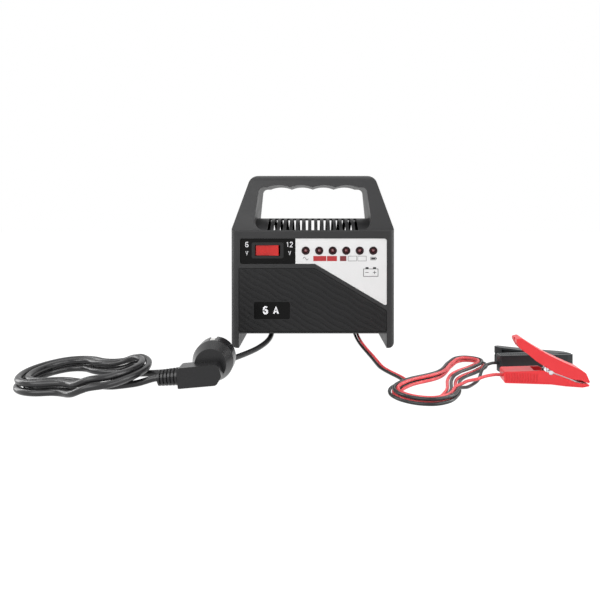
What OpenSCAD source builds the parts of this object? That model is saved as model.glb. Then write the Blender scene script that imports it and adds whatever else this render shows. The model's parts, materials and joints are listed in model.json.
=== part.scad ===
/* [Case] */
// Width of the case across the two feet
case_w = 185; // [175:1:200]
// Depth of the case, front face to rear face
case_d = 88; // [84:1:100]
// Height of the square body, up to the ledge below the handle
body_h = 133; // [130:1:150]
// Height of the whole case with its handle
case_h = 196; // [192:1:215]
// Wall of the sides, rear and roof
wall = 2.5; // [2:0.1:3]
// Wall of the front, which carries the inset panels
front_wall = 4.6; // [4.2:0.1:5]
// Width of each foot, seen from the front
foot_w = 9.2; // [8:0.1:11]
// Height of the feet below the front skirt
foot_h = 16.4; // [12:0.1:18]
// Depth of the ledge between the body and the handle
ledge = 3; // [2:0.1:4]
// Height of the vent roof's ridge above the body
roof_rise = 13; // [10:0.5:15]
// Height of the base plate's underside
base_z = 30; // [27:1:32]
// Thickness of the base plate
base_t = 3; // [2:0.1:4]

/* [Handle] */
// Width over the top corners of the handle
handle_top_w = 143; // [138:1:150]
// Depth of the handle at its top
handle_top_d = 52; // [46:1:58]
// Width of the hand opening at its top
opening_top_w = 124; // [118:1:126]
// Width of the hand opening at its bottom
opening_bottom_w = 136; // [128:1:138]
// Height of the hand opening's top edge, at the ridges between the fingers
opening_top_z = 182; // [178:0.5:184]
// Distance from one finger hollow to the next
finger_pitch = 26.4; // [22:0.2:27]
// Depth of a finger hollow
finger_depth = 2.6; // [1.5:0.1:3.5]

/* [Vents] */
// Number of vent slots across the roof
vent_count = 15; // [7:2:15]
// Distance from one vent slot to the next
vent_pitch = 7.15; // [6:0.05:7.3]
// Width of a vent slot
vent_w = 3.4; // [2.5:0.1:4]
// Half the width of the bar that joins the ribs at the ridge
vent_bar = 2.5; // [2:0.1:4]

/* [Front] */
// Height of the lower edge of the textured panel
panel_bottom_z = 18; // [17:0.5:22]
// Distance from the case's side to the inset panels
panel_margin = 8.8; // [8:0.1:11]
// Height of the lower edge of the strip that holds switch and lamps
strip_bottom_z = 94.8; // [90:0.1:96]
// Height of the strip that holds switch and lamps
strip_h = 28.8; // [27:0.1:30]
// Side position of the line between switch plate and display label
strip_split_x = -20; // [-24:0.5:-16]
// Width of the band of case between the inset panels
band = 3.9; // [3:0.1:5]
// Slope of the band that crosses the front
band_angle = 30.6; // [26:0.2:32]
// Depth of the pocket that holds the textured panel
panel_pocket = 2.2; // [1.6:0.1:2.4]
// Thickness of the textured panel below its ribs
panel_t = 1.2; // [1:0.1:1.4]
// Upright distance from one wavy rib to the next
rib_pitch = 7.3; // [6:0.1:9]
// Width of a wavy rib, measured upright
rib_w = 4.2; // [3:0.1:5]
// Height of a wavy rib above the panel
rib_h = 0.9; // [0.5:0.1:1]
// Depth of the pocket that holds the switch plate
switch_pocket = 2.8; // [2.4:0.1:3]
// Thickness of the switch plate
switch_plate_t = 0.8; // [0.6:0.1:1]
// Depth of the pocket that holds the display label
label_pocket = 1; // [0.6:0.1:1.2]
// Thickness of the display label
label_t = 0.5; // [0.3:0.1:0.6]
// Distance from one display lamp to the next
lamp_pitch = 15.26; // [12:0.02:15.6]
// Diameter of a display lamp's collar
lamp_collar_d = 9.2; // [8:0.1:10]
// Diameter of a display lamp
lamp_d = 5; // [4:0.1:6]
// Width of the rating plate
rating_w = 40.6; // [36:0.1:44]
// Height of the rating plate
rating_h = 19.2; // [16:0.1:22]

/* [Switch] */
// Width of the rocker
rocker_w = 26; // [24:0.1:27]
// Height of the rocker
rocker_h = 11.6; // [10:0.1:12]
// Angle between each half of the rocker's face and its middle plane
rocker_slope = 7; // [5:0.5:8]
// Width of the rocker's frame
rocker_frame_w = 36; // [34:0.5:38]
// Height of the rocker's frame
rocker_frame_h = 18; // [17:0.1:20]

/* [Transformer] */
// Width of the laminated core
core_w = 76; // [66:1:80]
// Depth of the stack of laminations
core_d = 30; // [24:1:34]
// Height of the laminated core, five sixths of its width on a real stamping
core_h = 63; // [55:1:68]

/* [Mains cord] */
// Diameter of the mains cord
mains_d = 5.8; // [5.4:0.1:6]
// Length of the tapered sleeve outside the base
sleeve_l = 22.5; // [20:0.5:26]
// Angle of the cord sleeves below level
sleeve_angle = 30; // [28:1:45]
// Diameter of the plug's round head
plug_head_d = 37; // [35:0.5:38]
// Diameter of a plug pin
pin_d = 4.8; // [4.6:0.1:4.8]
// Length of a plug pin
pin_l = 19; // [18:0.5:19]
// Distance between the plug pins' axes
pin_gap = 19; // [18.5:0.5:20]

/* [Battery leads] */
// Diameter of each battery lead
lead_d = 2.8; // [2.4:0.1:3]
// Gap between the two leads where they run side by side
lead_gap = 0.6; // [0.45:0.05:0.7]

/* [Clips] */
// Length of a battery clip's lower lever
clip_l = 72; // [68:0.5:76]
// Width of a battery clip across its levers
clip_w = 16; // [15.5:0.5:18]
// Thickness of a clip's steel jaw plates
jaw_t = 1; // [0.8:0.1:1.2]
// Diameter of the pin that a clip's levers turn on
clip_pin_d = 3; // [2.6:0.1:3.4]
// Diameter of a clip spring's wire
spring_wire_d = 1.2; // [1:0.1:1.3]

/* [Hidden] */
$fn = 64;
// Air round an inset piece, and between a screw and its hole
fit = 0.3;
// Running clearance of a pin in its bore, on the radius
running = 0.05;
half_w = case_w / 2;
half_d = case_d / 2;
foot_in = half_w - foot_w;
base_top = base_z + base_t;
handle_half_d = half_d - ledge;
roof_r = (pow(handle_half_d, 2) + pow(roof_rise, 2)) / (2 * roof_rise);
roof_axis_z = body_h + roof_rise - roof_r;

// Colours
charcoal = [0.22, 0.22, 0.23];
near_black = [0.08, 0.08, 0.09];
steel = [0.75, 0.76, 0.78];

function unit(v) = v / norm(v);
function short_way(d) = d > 180 ? d - 360 : d < -180 ? d + 360 : d;

// A corner of an outline, rounded by an arc that meets both of its sides
function corner_arc(p, q, r, rad, steps) =
    rad == 0 ? [q] :
    let (
        a = unit(p - q),
        b = unit(r - q),
        half = acos(a * b) / 2,
        c = q + unit(a + b) * rad / sin(half),
        s = q + a * rad / tan(half) - c,
        e = q + b * rad / tan(half) - c,
        from = atan2(s[1], s[0]),
        sweep = short_way(atan2(e[1], e[0]) - from)
    )
    [for (i = [0:steps]) c + rad * [cos(from + sweep * i / steps), sin(from + sweep * i / steps)]];

function rounded(points, radii, steps = 6) =
    let (n = len(points))
    [for (i = [0:n - 1])
        each corner_arc(points[(i + n - 1) % n], points[i], points[(i + 1) % n], radii[i], steps)];

function left_normal(p, q) = let (d = unit(q - p)) [-d[1], d[0]];

// A counterclockwise outline with every side moved in by gap, or out where gap is negative
function inset(points, gap) =
    let (n = len(points))
    [for (i = [0:n - 1])
        let (
            a = left_normal(points[(i + n - 1) % n], points[i]),
            b = left_normal(points[i], points[(i + 1) % n])
        )
        points[i] + (a + b) * gap / (1 + a * b)];

function shrink(radii, gap) = [for (r = radii) max(r - gap, 0)];

// Outlines drawn in the front view run along Y, and those of the side view along X
module front_view(points, from_y, to_y) {
    translate([0, to_y, 0])
        rotate([90, 0, 0])
            linear_extrude(to_y - from_y)
                polygon(points);
}

module side_view(points, width) {
    rotate([90, 0, 90])
        linear_extrude(width, center = true)
            polygon(points);
}

module plan_view(points, from_z, to_z) {
    translate([0, 0, from_z])
        linear_extrude(to_z - from_z)
            polygon(points);
}

module along_y(x, z, from_y, to_y, r) {
    translate([x, to_y, z])
        rotate([90, 0, 0])
            cylinder(r = r, h = to_y - from_y);
}

module block(low, high) {
    translate(low)
        cube(high - low);
}

function box_corners(hx, hy) = [[-hx, -hy], [hx, -hy], [hx, hy], [-hx, hy]];

// ---- Case ----
front_corners = [
    [-half_w, 0], [half_w, 0], [half_w, body_h],
    [handle_top_w / 2, case_h], [-handle_top_w / 2, case_h], [-half_w, body_h]];
front_radii = [7, 7, 3, 12, 12, 3];
side_corners = [
    [-half_d, 0], [half_d, 0], [half_d, body_h], [handle_half_d, body_h],
    [handle_top_d / 2, case_h], [-handle_top_d / 2, case_h],
    [-handle_half_d, body_h], [-half_d, body_h]];
side_radii = [0, 0, 1.5, 0, 9, 9, 0, 1.5];
plan_radius = 6;

module case_form(gap) {
    intersection() {
        front_view(rounded(inset(front_corners, gap), shrink(front_radii, gap)), -half_d, half_d);
        side_view(rounded(inset(side_corners, gap), shrink(side_radii, gap)), case_w);
        plan_view(
            rounded(box_corners(half_w - gap, half_d - gap), [for (i = [0:3]) plan_radius - gap]),
            0, case_h);
    }
}

// The roof below the hand opening is a shallow arch from the front ledge to the rear one
module roof_arch(gap) {
    translate([0, 0, roof_axis_z])
        rotate([0, 90, 0])
            cylinder(r = roof_r - gap, h = case_w, center = true, $fn = 96);
}

opening_corners = [
    [-opening_bottom_w / 2, body_h], [opening_bottom_w / 2, body_h],
    [opening_top_w / 2, opening_top_z], [-opening_top_w / 2, opening_top_z]];
opening_radii = [11, 11, 6, 6];
finger_count = 4;
finger_r = (pow(finger_pitch / 2, 2) + pow(finger_depth, 2)) / (2 * finger_depth);
finger_half = asin(finger_pitch / 2 / finger_r);
finger_steps = 8;

// The finger hollows, from the right-hand one to the left-hand one
function finger_edge() = [
    for (i = [0:finger_count - 1], j = [0:finger_steps - (i < finger_count - 1 ? 1 : 0)])
        let (a = 90 - finger_half + 2 * finger_half * j / finger_steps)
        [((finger_count - 1) / 2 - i) * finger_pitch + finger_r * cos(a),
            opening_top_z + finger_depth - finger_r + finger_r * sin(a)]];

function opening_outline() =
    let (c = opening_corners, r = opening_radii)
    concat(
        corner_arc(c[3], c[0], c[1], r[0], 8),
        corner_arc(c[0], c[1], c[2], r[1], 8),
        corner_arc(c[1], c[2], c[3], r[2], 6),
        finger_edge(),
        corner_arc(c[2], c[3], c[0], r[3], 6));

module hand_opening() {
    difference() {
        front_view(opening_outline(), -half_d - 1, half_d + 1);
        roof_arch(0);
    }
}

// What the hollow inside the handle and the body keeps clear of, round the hand opening
module opening_wall() {
    grown = [for (p = inset(opening_corners, -wall)) [p[0], p[1] > body_h ? p[1] + finger_depth : p[1]]];
    difference() {
        front_view(rounded(grown, [for (r = opening_radii) r + wall], 4), -half_d, half_d);
        roof_arch(wall);
    }
}

module hollow() {
    difference() {
        case_form(wall);
        opening_wall();
        block([-half_w, -half_d, 0], [half_w, half_d, base_top]);
        block([-half_w, -half_d, 0], [half_w, front_wall - half_d, body_h]);
    }
}

module underside() {
    block([-foot_in, wall - half_d, -1], [foot_in, half_d - wall, base_top]);
    block([-foot_in, -half_d - 1, -1], [foot_in, half_d + 1, foot_h]);
}

// Slots through the roof on one side of the ridge, whose bar stays whole
module vent_slots(side, reach, floor_z) {
    for (i = [-(vent_count - 1) / 2:(vent_count - 1) / 2]) {
        x = i * vent_pitch;
        y = side * (vent_bar + reach) / 2;
        translate([x, y, (floor_z + body_h + 20) / 2])
            cube([vent_w, reach - vent_bar, body_h + 20 - floor_z], center = true);
    }
}

// ---- Case screws: four in the body and two in the top corners of the handle ----
screw_r = 1.9;
screw_head_r = 3.6;
screw_head_h = 2.4;
boss_r = 5.5;
body_screws = [for (x = [-1, 1], z = [base_top + 12, body_h - 15]) [x * (half_w - wall - 5), z]];
handle_screws = [for (x = [-1, 1]) [x * (handle_top_w / 2 - 6.5), case_h - 9]];
body_seat_y = half_d - 14;
handle_seat_y = handle_top_d / 2 - 6;
screw_tip_y = -14;
base_screw_xy = [for (x = [-1, 1], y = [-1, 1]) [x * (foot_in - 7), y * (half_d - 7.5)]];
base_boss_r = 5.2;
base_boss_h = 14;

module base_bosses() {
    for (p = base_screw_xy)
        translate([p[0], p[1], base_top])
            cylinder(r = base_boss_r, h = base_boss_h);
}

module base_boss_bores() {
    for (p = base_screw_xy)
        translate([p[0], p[1], base_top - 1])
            cylinder(r = screw_r + running, h = base_boss_h - 1);
}

module screw_set(points, seat_y) {
    for (p = points) {
        along_y(p[0], p[1], screw_tip_y, seat_y, screw_r);
        along_y(p[0], p[1], seat_y, seat_y + screw_head_h, screw_head_r);
    }
}

module case_screws() {
    color(steel)
        difference() {
            union() {
                screw_set(body_screws, body_seat_y);
                screw_set(handle_screws, handle_seat_y);
            }
            screw_cross(body_screws, body_seat_y);
            screw_cross(handle_screws, handle_seat_y);
        }
}

module screw_cross(points, seat_y) {
    for (p = points, turn = [0, 90])
        translate([p[0], seat_y + screw_head_h, p[1]])
            rotate([0, turn, 0])
                cube([4, 2.4, 0.9], center = true);
}

module front_bosses() {
    intersection() {
        case_form(0);
        union() {
            for (p = body_screws)
                along_y(p[0], p[1], -half_d + wall, 0, boss_r);
            for (p = handle_screws)
                along_y(p[0], p[1], -half_d + wall, 0, boss_r);
        }
    }
}

// ---- Front: textured panel, switch plate and display label, each in a pocket of its own ----
front_y = -half_d;
panel_x = half_w - panel_margin;
strip_top_z = strip_bottom_z + strip_h;
bend_x = strip_split_x + 22.5;
panel_top_z = strip_bottom_z - band / cos(band_angle);
label_corner_z = strip_bottom_z - (panel_x - bend_x) * tan(band_angle);
panel_corner_z = label_corner_z - band / cos(band_angle);
panel_corners = [
    [-panel_x, panel_bottom_z], [panel_x, panel_bottom_z], [panel_x, panel_corner_z],
    [bend_x, panel_top_z], [-panel_x, panel_top_z]];
panel_radii = [2, 2, 3, 8, 2];
label_corners = [
    [strip_split_x + fit, strip_bottom_z], [bend_x, strip_bottom_z], [panel_x, label_corner_z],
    [panel_x, strip_top_z], [strip_split_x + fit, strip_top_z]];
label_radii = [0, 0, 2, 3, 0];
switch_left_x = -panel_x + 1.5;
switch_corners = [
    [switch_left_x, strip_bottom_z], [strip_split_x, strip_bottom_z],
    [strip_split_x, strip_top_z], [switch_left_x, strip_top_z]];
switch_radii = [2.5, 0, 0, 2.5];
rating_x = -panel_x + 17.3 + rating_w / 2;
rating_z = panel_bottom_z + 14.7 + rating_h / 2;
rating_rim = 1.6;

function grown_box(x, z, w, h, gap) =
    [for (p = box_corners(w / 2 + gap, h / 2 + gap)) p + [x, z]];

panel_back_y = front_y + panel_pocket;
panel_face_y = panel_back_y - panel_t;

function wave(x) = 0.9 * sin(x * 12) - x * tan(band_angle);

module wavy_rib(z0) {
    steps = 42;
    far = panel_x + 4;
    xs = [for (i = [0:steps]) -far + 2 * far * i / steps];
    polygon(concat(
        [for (x = xs) [x, z0 + wave(x)]],
        [for (i = [steps:-1:0]) [xs[i], z0 + rib_w + wave(xs[i])]]));
}

module front_panel() {
    color(charcoal)
        difference() {
            union() {
                front_view(
                    rounded(inset(panel_corners, fit), shrink(panel_radii, fit)),
                    panel_face_y, panel_back_y);
                translate([0, panel_face_y, 0])
                    rotate([90, 0, 0])
                        linear_extrude(rib_h)
                            intersection() {
                                polygon(rounded(inset(panel_corners, 0.7), shrink(panel_radii, 0.7)));
                                for (i = [-7:19])
                                    wavy_rib(i * rib_pitch);
                            }
                front_view(
                    rounded(grown_box(rating_x, rating_z, rating_w, rating_h, rating_rim), [3, 3, 3, 3]),
                    panel_face_y - rib_h, panel_back_y);
            }
            front_view(
                rounded(grown_box(rating_x, rating_z, rating_w, rating_h, 0.1), [2, 2, 2, 2]),
                front_y - 1, panel_face_y);
        }
}

module rating_plate() {
    color(near_black)
        front_view(
            rounded(grown_box(rating_x, rating_z, rating_w, rating_h, 0), [2, 2, 2, 2]),
            panel_face_y - rib_h / 2, panel_face_y);
}

// ---- Rocker switch: its face is a shallow V, so pressing one end raises the other ----
rocker_x = (switch_left_x + strip_split_x) / 2;
rocker_z = strip_bottom_z + strip_h / 2 + 0.8;
rocker_mid = 3.2;
rocker_end = rocker_mid + rocker_w / 2 * tan(rocker_slope);
rocker_reach = rocker_w / 2 * sin(rocker_slope) + rocker_end * cos(rocker_slope);
rocker_y = front_y + 0.05 + rocker_reach;
axle_r = 1.5;
axle_l = 1.4;
side_air = 0.3;
switch_face_y = front_y + switch_pocket - switch_plate_t;
housing_w = rocker_w + 5.6;
housing_h = rocker_h + 4;
housing_back_y = front_y + 20;

module rocker() {
    color([0.86, 0.16, 0.13])
        translate([rocker_x, rocker_y, rocker_z])
            rotate([0, 0, -rocker_slope]) {
                linear_extrude(rocker_h, center = true)
                    polygon([
                        [-rocker_w / 2, -rocker_end], [0, -rocker_mid], [rocker_w / 2, -rocker_end],
                        [rocker_w / 2, 2], [4, 5], [-4, 5], [-rocker_w / 2, 2]]);
                cylinder(r = axle_r, h = rocker_h + 2 * axle_l, center = true);
            }
}

module rocker_frame() {
    color([0.16, 0.16, 0.17])
        difference() {
            union() {
                front_view(
                    rounded(grown_box(rocker_x, rocker_z, rocker_frame_w, rocker_frame_h, 0), [2, 2, 2, 2]),
                    switch_face_y - 0.9, switch_face_y);
                front_view(
                    grown_box(rocker_x, rocker_z, housing_w, housing_h, 0),
                    switch_face_y, housing_back_y);
            }
            front_view(
                grown_box(rocker_x, rocker_z, rocker_w + 2.6, rocker_h + 2 * side_air, 0),
                front_y - 1, housing_back_y - 3);
            translate([rocker_x, rocker_y, rocker_z])
                cylinder(r = axle_r + running, h = rocker_h + 2 * axle_l + 0.6, center = true);
        }
}

module switch_tabs() {
    color([0.8, 0.66, 0.35])
        for (i = [-1:1])
            translate([rocker_x + i * 9, 0, rocker_z])
                difference() {
                    block([-0.4, housing_back_y, -3.1], [0.4, housing_back_y + 8, 3.1]);
                    translate([0, housing_back_y + 5, 0])
                        rotate([0, 90, 0])
                            cylinder(r = 0.9, h = 4, center = true);
                }
}

module switch_plate() {
    color(near_black)
        difference() {
            front_view(
                rounded(inset(switch_corners, fit / 2), shrink(switch_radii, fit / 2)),
                switch_face_y, switch_face_y + switch_plate_t);
            front_view(
                grown_box(rocker_x, rocker_z, housing_w, housing_h, fit / 2),
                front_y - 1, 0);
        }
}

// ---- Display lamps: each sits in a collar that is pressed through label and case ----
lamp_count = 6;
lamp_z = strip_bottom_z + strip_h / 2 + 0.6;
lamp_xs = [for (i = [0:lamp_count - 1]) strip_split_x + 12 + i * lamp_pitch];
collar_r = lamp_collar_d / 2;
collar_neck_r = collar_r - 1;
label_floor_y = front_y + label_pocket;
wall_inside_y = front_y + front_wall;
board_y = wall_inside_y + 5.4;
board_t = 1.6;
board_low = [lamp_xs[0] - 8, board_y, lamp_z - 9.5];
board_high = [lamp_xs[lamp_count - 1] + 8, board_y + board_t, lamp_z + 9.5];
board_screw_r = 1.2;
board_screws = [for (x = [board_low[0] + 3.5, board_high[0] - 3.5]) [x, board_low[2] + 2.8]];

module display_label() {
    color([0.9, 0.9, 0.91])
        difference() {
            front_view(
                rounded(inset(label_corners, fit / 2), shrink(label_radii, fit / 2)),
                label_floor_y - label_t, label_floor_y);
            for (x = lamp_xs)
                along_y(x, lamp_z, front_y - 1, 0, collar_r + 0.1);
        }
}

module lamp_collars() {
    color([0.1, 0.05, 0.06])
        for (x = lamp_xs)
            difference() {
                union() {
                    along_y(x, lamp_z, label_floor_y - label_t - 0.4, label_floor_y, collar_r);
                    along_y(x, lamp_z, label_floor_y, wall_inside_y + 0.8, collar_neck_r);
                }
                along_y(x, lamp_z, front_y - 1, 0, lamp_d / 2 + running);
            }
}

module lamps() {
    color([0.45, 0.16, 0.18])
        for (x = lamp_xs) {
            along_y(x, lamp_z, front_y + 0.2 + lamp_d / 2, board_y, lamp_d / 2);
            along_y(x, lamp_z, board_y - 1, board_y, lamp_d / 2 + 0.4);
            translate([x, front_y + 0.2 + lamp_d / 2, lamp_z])
                sphere(r = lamp_d / 2);
        }
}

module lamp_board() {
    color([0.12, 0.36, 0.2])
        difference() {
            block(board_low, board_high);
            for (p = board_screws)
                along_y(p[0], p[1], board_y - 1, board_y + board_t + 1, board_screw_r + running);
        }
}

// ---- Covers ----
module front_cover() {
    color(charcoal)
        difference() {
            union() {
                difference() {
                    intersection() {
                        case_form(0);
                        block([-half_w, -half_d, 0], [half_w, 0, case_h]);
                    }
                    hollow();
                }
                front_bosses();
                intersection() {
                    case_form(0);
                    base_bosses();
                    block([-half_w, -half_d, 0], [half_w, -1, case_h]);
                }
                for (p = board_screws)
                    along_y(p[0], p[1], wall_inside_y - 0.5, board_y, 3);
            }
            hand_opening();
            underside();
            vent_slots(-1, half_d - 1.5, body_h - 1.5);
            front_view(rounded(panel_corners, panel_radii), front_y - 1, panel_back_y);
            front_view(rounded(switch_corners, switch_radii), front_y - 1, front_y + switch_pocket);
            front_view(rounded(label_corners, label_radii), front_y - 1, label_floor_y);
            front_view(
                grown_box(rocker_x, rocker_z, housing_w, housing_h, fit),
                front_y - 1, wall_inside_y + 1);
            for (x = lamp_xs)
                along_y(x, lamp_z, front_y - 1, wall_inside_y + 1, collar_neck_r + 0.1);
            for (p = board_screws)
                along_y(p[0], p[1], wall_inside_y - 1, board_y + 1, board_screw_r + running);
            for (p = concat(body_screws, handle_screws))
                along_y(p[0], p[1], screw_tip_y - 2, 1, screw_r + running);
            base_boss_bores();
        }
}

module rear_cover() {
    color(charcoal)
        difference() {
            union() {
                difference() {
                    intersection() {
                        case_form(0);
                        block([-half_w, 0, 0], [half_w, half_d, case_h]);
                    }
                    hollow();
                }
                intersection() {
                    case_form(0);
                    union() {
                        for (p = concat(body_screws, handle_screws))
                            along_y(p[0], p[1], 0, half_d, boss_r);
                        for (p = base_screw_xy)
                            if (p[1] > 0)
                                translate([p[0], p[1], base_top])
                                    cylinder(r = base_boss_r, h = base_boss_h);
                    }
                }
            }
            hand_opening();
            underside();
            vent_slots(1, half_d + 2, body_h - 3);
            for (p = concat(body_screws, handle_screws))
                along_y(p[0], p[1], -1, half_d + 1, screw_r + running);
            for (p = body_screws)
                along_y(p[0], p[1], body_seat_y, half_d + 1, screw_head_r + fit);
            for (p = handle_screws)
                along_y(p[0], p[1], handle_seat_y, half_d + 1, screw_head_r + fit);
            base_boss_bores();
        }
}

// ---- Cord sleeves: they leave the base plate at a slant, forwards and down ----
mains_exit = [-48, 20, base_z];
leads_exit = [50, 20, base_z];
neck_r = 5;
sleeve_root_r = 6;
mains_tip_r = mains_d / 2 + 1;
leads_tip_r = lead_d + lead_gap / 2 + 1;
sleeve_dir = [0, -cos(sleeve_angle), -sin(sleeve_angle)];
sleeve_root = sleeve_root_r / tan(sleeve_angle) + 1;
neck_reach = base_t / tan(sleeve_angle) + neck_r / sin(sleeve_angle);
mains_start = mains_exit + sleeve_l * sleeve_dir;
leads_start = leads_exit + sleeve_l * sleeve_dir;

module along_sleeve(exit) {
    translate(exit)
        rotate([90 + sleeve_angle, 0, 0])
            children();
}

module sleeve(exit, tip_r) {
    color(near_black) {
        difference() {
            intersection() {
                along_sleeve(exit) {
                    cylinder(r1 = sleeve_root_r, r2 = tip_r, h = sleeve_l);
                    translate([0, 0, -sleeve_root])
                        cylinder(r = sleeve_root_r, h = sleeve_root);
                }
                block(exit - [12, 30, 30], exit + [12, 30, 0]);
            }
            along_sleeve(exit)
                for (i = [2:6])
                    translate([0, 0, i * sleeve_l / 8])
                        difference() {
                            cylinder(r = sleeve_root_r + 2, h = sleeve_l / 20);
                            translate([0, 0, -1])
                                cylinder(r = tip_r - 0.5, h = sleeve_l);
                        }
        }
        intersection() {
            along_sleeve(exit)
                translate([0, 0, -20])
                    cylinder(r = neck_r, h = 40);
            block(exit - [12, 30, 0], exit + [12, 30, base_t]);
        }
        block(
            exit + [-8, 2 * base_t / tan(sleeve_angle) - neck_reach - 1, base_t],
            exit + [8, neck_reach + 1, base_t + 2]);
    }
}

module mains_sleeve() {
    sleeve(mains_exit, mains_tip_r);
}

module lead_sleeve() {
    sleeve(leads_exit, leads_tip_r);
}

// ---- Transformer: a laminated core whose middle leg carries the split bobbin ----
core_at = [0, 6, base_top];
leg_w = core_w / 6;
window_h = core_w / 2;
yoke_h = (core_h - window_h) / 2;
clamp_t = 1.2;
clamp_d = 14;
clamp_foot = 11;
coil_air = 0.3;
tube_x = leg_w + coil_air;
tube_y = core_d / 2 + coil_air;
tube_t = 1.2;
flange_t = 1.2;
flange_x = 2 * leg_w - coil_air;
flange_y = core_d / 2 + leg_w - coil_air;
bobbin_h = window_h - 2 * coil_air;
winding_h = (bobbin_h - 3 * flange_t) / 2;
winding_gap = 0.8;

module transformer_core() {
    color([0.42, 0.43, 0.45])
        translate(core_at)
            difference() {
                translate([-core_w / 2, -core_d / 2, 0])
                    cube([core_w, core_d, core_h]);
                for (side = [-1, 1])
                    translate([side * leg_w * 1.5, 0, core_h / 2])
                        cube([leg_w, core_d + 2, window_h], center = true);
            }
}

module on_leg(from_h) {
    translate(core_at + [0, 0, yoke_h + coil_air + from_h])
        children();
}

module bobbin() {
    color([0.9, 0.88, 0.8])
        on_leg(0)
            difference() {
                union() {
                    plan_view(box_corners(tube_x + tube_t, tube_y + tube_t), 0, bobbin_h);
                    for (i = [0:2])
                        plan_view(
                            rounded(box_corners(flange_x, flange_y), [2, 2, 2, 2]),
                            i * (winding_h + flange_t), i * (winding_h + flange_t) + flange_t);
                }
                plan_view(box_corners(tube_x, tube_y), -1, bobbin_h + 1);
            }
}

module winding(place) {
    on_leg(flange_t + place * (winding_h + flange_t))
        difference() {
            plan_view(
                rounded(box_corners(flange_x - winding_gap, flange_y - winding_gap), [5, 5, 5, 5]),
                0, winding_h);
            plan_view(box_corners(tube_x + tube_t, tube_y + tube_t), -1, winding_h + 1);
        }
}

module primary_winding() {
    color([0.75, 0.55, 0.2])
        winding(0);
}

module secondary_winding() {
    color([0.72, 0.42, 0.22])
        winding(1);
}

clamp_screw_x = core_w / 2 + clamp_t + clamp_foot / 2;
inner_screw_r = 1.5;
inner_head_r = 2.8;
inner_head_h = 1.8;

module core_clamp() {
    color(steel)
        translate(core_at)
            difference() {
                union() {
                    for (side = [-1, 1]) {
                        translate([side * (core_w + clamp_t) / 2, 0, (core_h + clamp_t) / 2])
                            cube([clamp_t, clamp_d, core_h + clamp_t], center = true);
                        translate([side * clamp_screw_x, 0, clamp_t / 2])
                            cube([clamp_foot, clamp_d, clamp_t], center = true);
                    }
                    translate([0, 0, core_h + clamp_t / 2])
                        cube([core_w, clamp_d, clamp_t], center = true);
                }
                for (side = [-1, 1])
                    translate([side * clamp_screw_x, 0, -1])
                        cylinder(r = inner_screw_r + running, h = clamp_t + 2);
            }
}

module thermal_cutout() {
    color([0.2, 0.2, 0.22])
        translate(core_at + [0, 0, core_h + clamp_t]) {
            translate([-9, -4, 0])
                cube([18, 8, 5]);
            for (side = [-1, 1])
                translate([side * 11.5, 0, 2.5])
                    cube([5, 5, 0.8], center = true);
        }
}

// ---- Rectifier on its finned heat sink ----
sink_x = foot_in - 23;
fin_pitch = 9.15;
sink_low_y = -30;
sink_high_y = sink_low_y + 4 * fin_pitch + 1.4;
sink_t = 2;
sink_h = 44;
fin_l = 14;
fin_t = 1.4;
rectifier_t = 8;
rectifier_w = 28;
rectifier_at = [sink_x - rectifier_t, (sink_low_y + sink_high_y) / 2, base_top + sink_h / 2 + 2];
sink_screws = [
    for (y = [sink_low_y + (fin_pitch + fin_t) / 2, sink_high_y - (fin_pitch + fin_t) / 2])
    [sink_x + fin_l / 2 + 1, y]];

module heat_sink() {
    color([0.68, 0.7, 0.72])
        difference() {
            union() {
                block([sink_x, sink_low_y, base_top], [sink_x + fin_l + sink_t, sink_high_y, base_top + sink_t]);
                block([sink_x, sink_low_y, base_top], [sink_x + sink_t, sink_high_y, base_top + sink_h]);
                for (i = [0:4]) {
                    y = sink_low_y + fin_pitch * i;
                    block([sink_x + sink_t, y, base_top], [sink_x + fin_l, y + fin_t, base_top + sink_h]);
                }
            }
            for (p = sink_screws)
                translate([p[0], p[1], base_top - 1])
                    cylinder(r = inner_screw_r + running, h = sink_t + 2);
            along_x(rectifier_at, sink_t + rectifier_t + 2, inner_screw_r + running);
        }
}

module along_x(from, l, r) {
    translate(from)
        rotate([0, 90, 0])
            cylinder(r = r, h = l);
}

module rectifier() {
    color([0.12, 0.12, 0.13])
        difference() {
            union() {
                translate(rectifier_at + [rectifier_t / 2, 0, 0])
                    cube([rectifier_t, rectifier_w, rectifier_w], center = true);
                for (y = [-1, 1], z = [-1, 1])
                    translate(rectifier_at + [-3, y * 9, z * 9])
                        cube([6, 0.8, 6], center = true);
            }
            along_x(rectifier_at - [1, 0, 0], rectifier_t + 2, inner_screw_r + running);
        }
}

module inner_screws() {
    color(steel) {
        for (side = [-1, 1])
            floor_screw(core_at[0] + side * clamp_screw_x, core_at[1], base_top + clamp_t);
        for (p = sink_screws)
            floor_screw(p[0], p[1], base_top + sink_t);
        along_x(rectifier_at - [inner_head_h, 0, 0], inner_head_h, inner_head_r);
        along_x(rectifier_at, rectifier_t + sink_t, inner_screw_r);
        for (p = board_screws) {
            along_y(p[0], p[1], wall_inside_y, board_y + board_t, board_screw_r);
            along_y(p[0], p[1], board_y + board_t, board_y + board_t + 1.4, 2.2);
        }
    }
}

module floor_screw(x, y, seat_z) {
    translate([x, y, base_z + 0.4])
        cylinder(r = inner_screw_r, h = seat_z - base_z - 0.4);
    translate([x, y, seat_z])
        cylinder(r = inner_head_r, h = inner_head_h);
}

base_head_h = 1.4;

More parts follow.
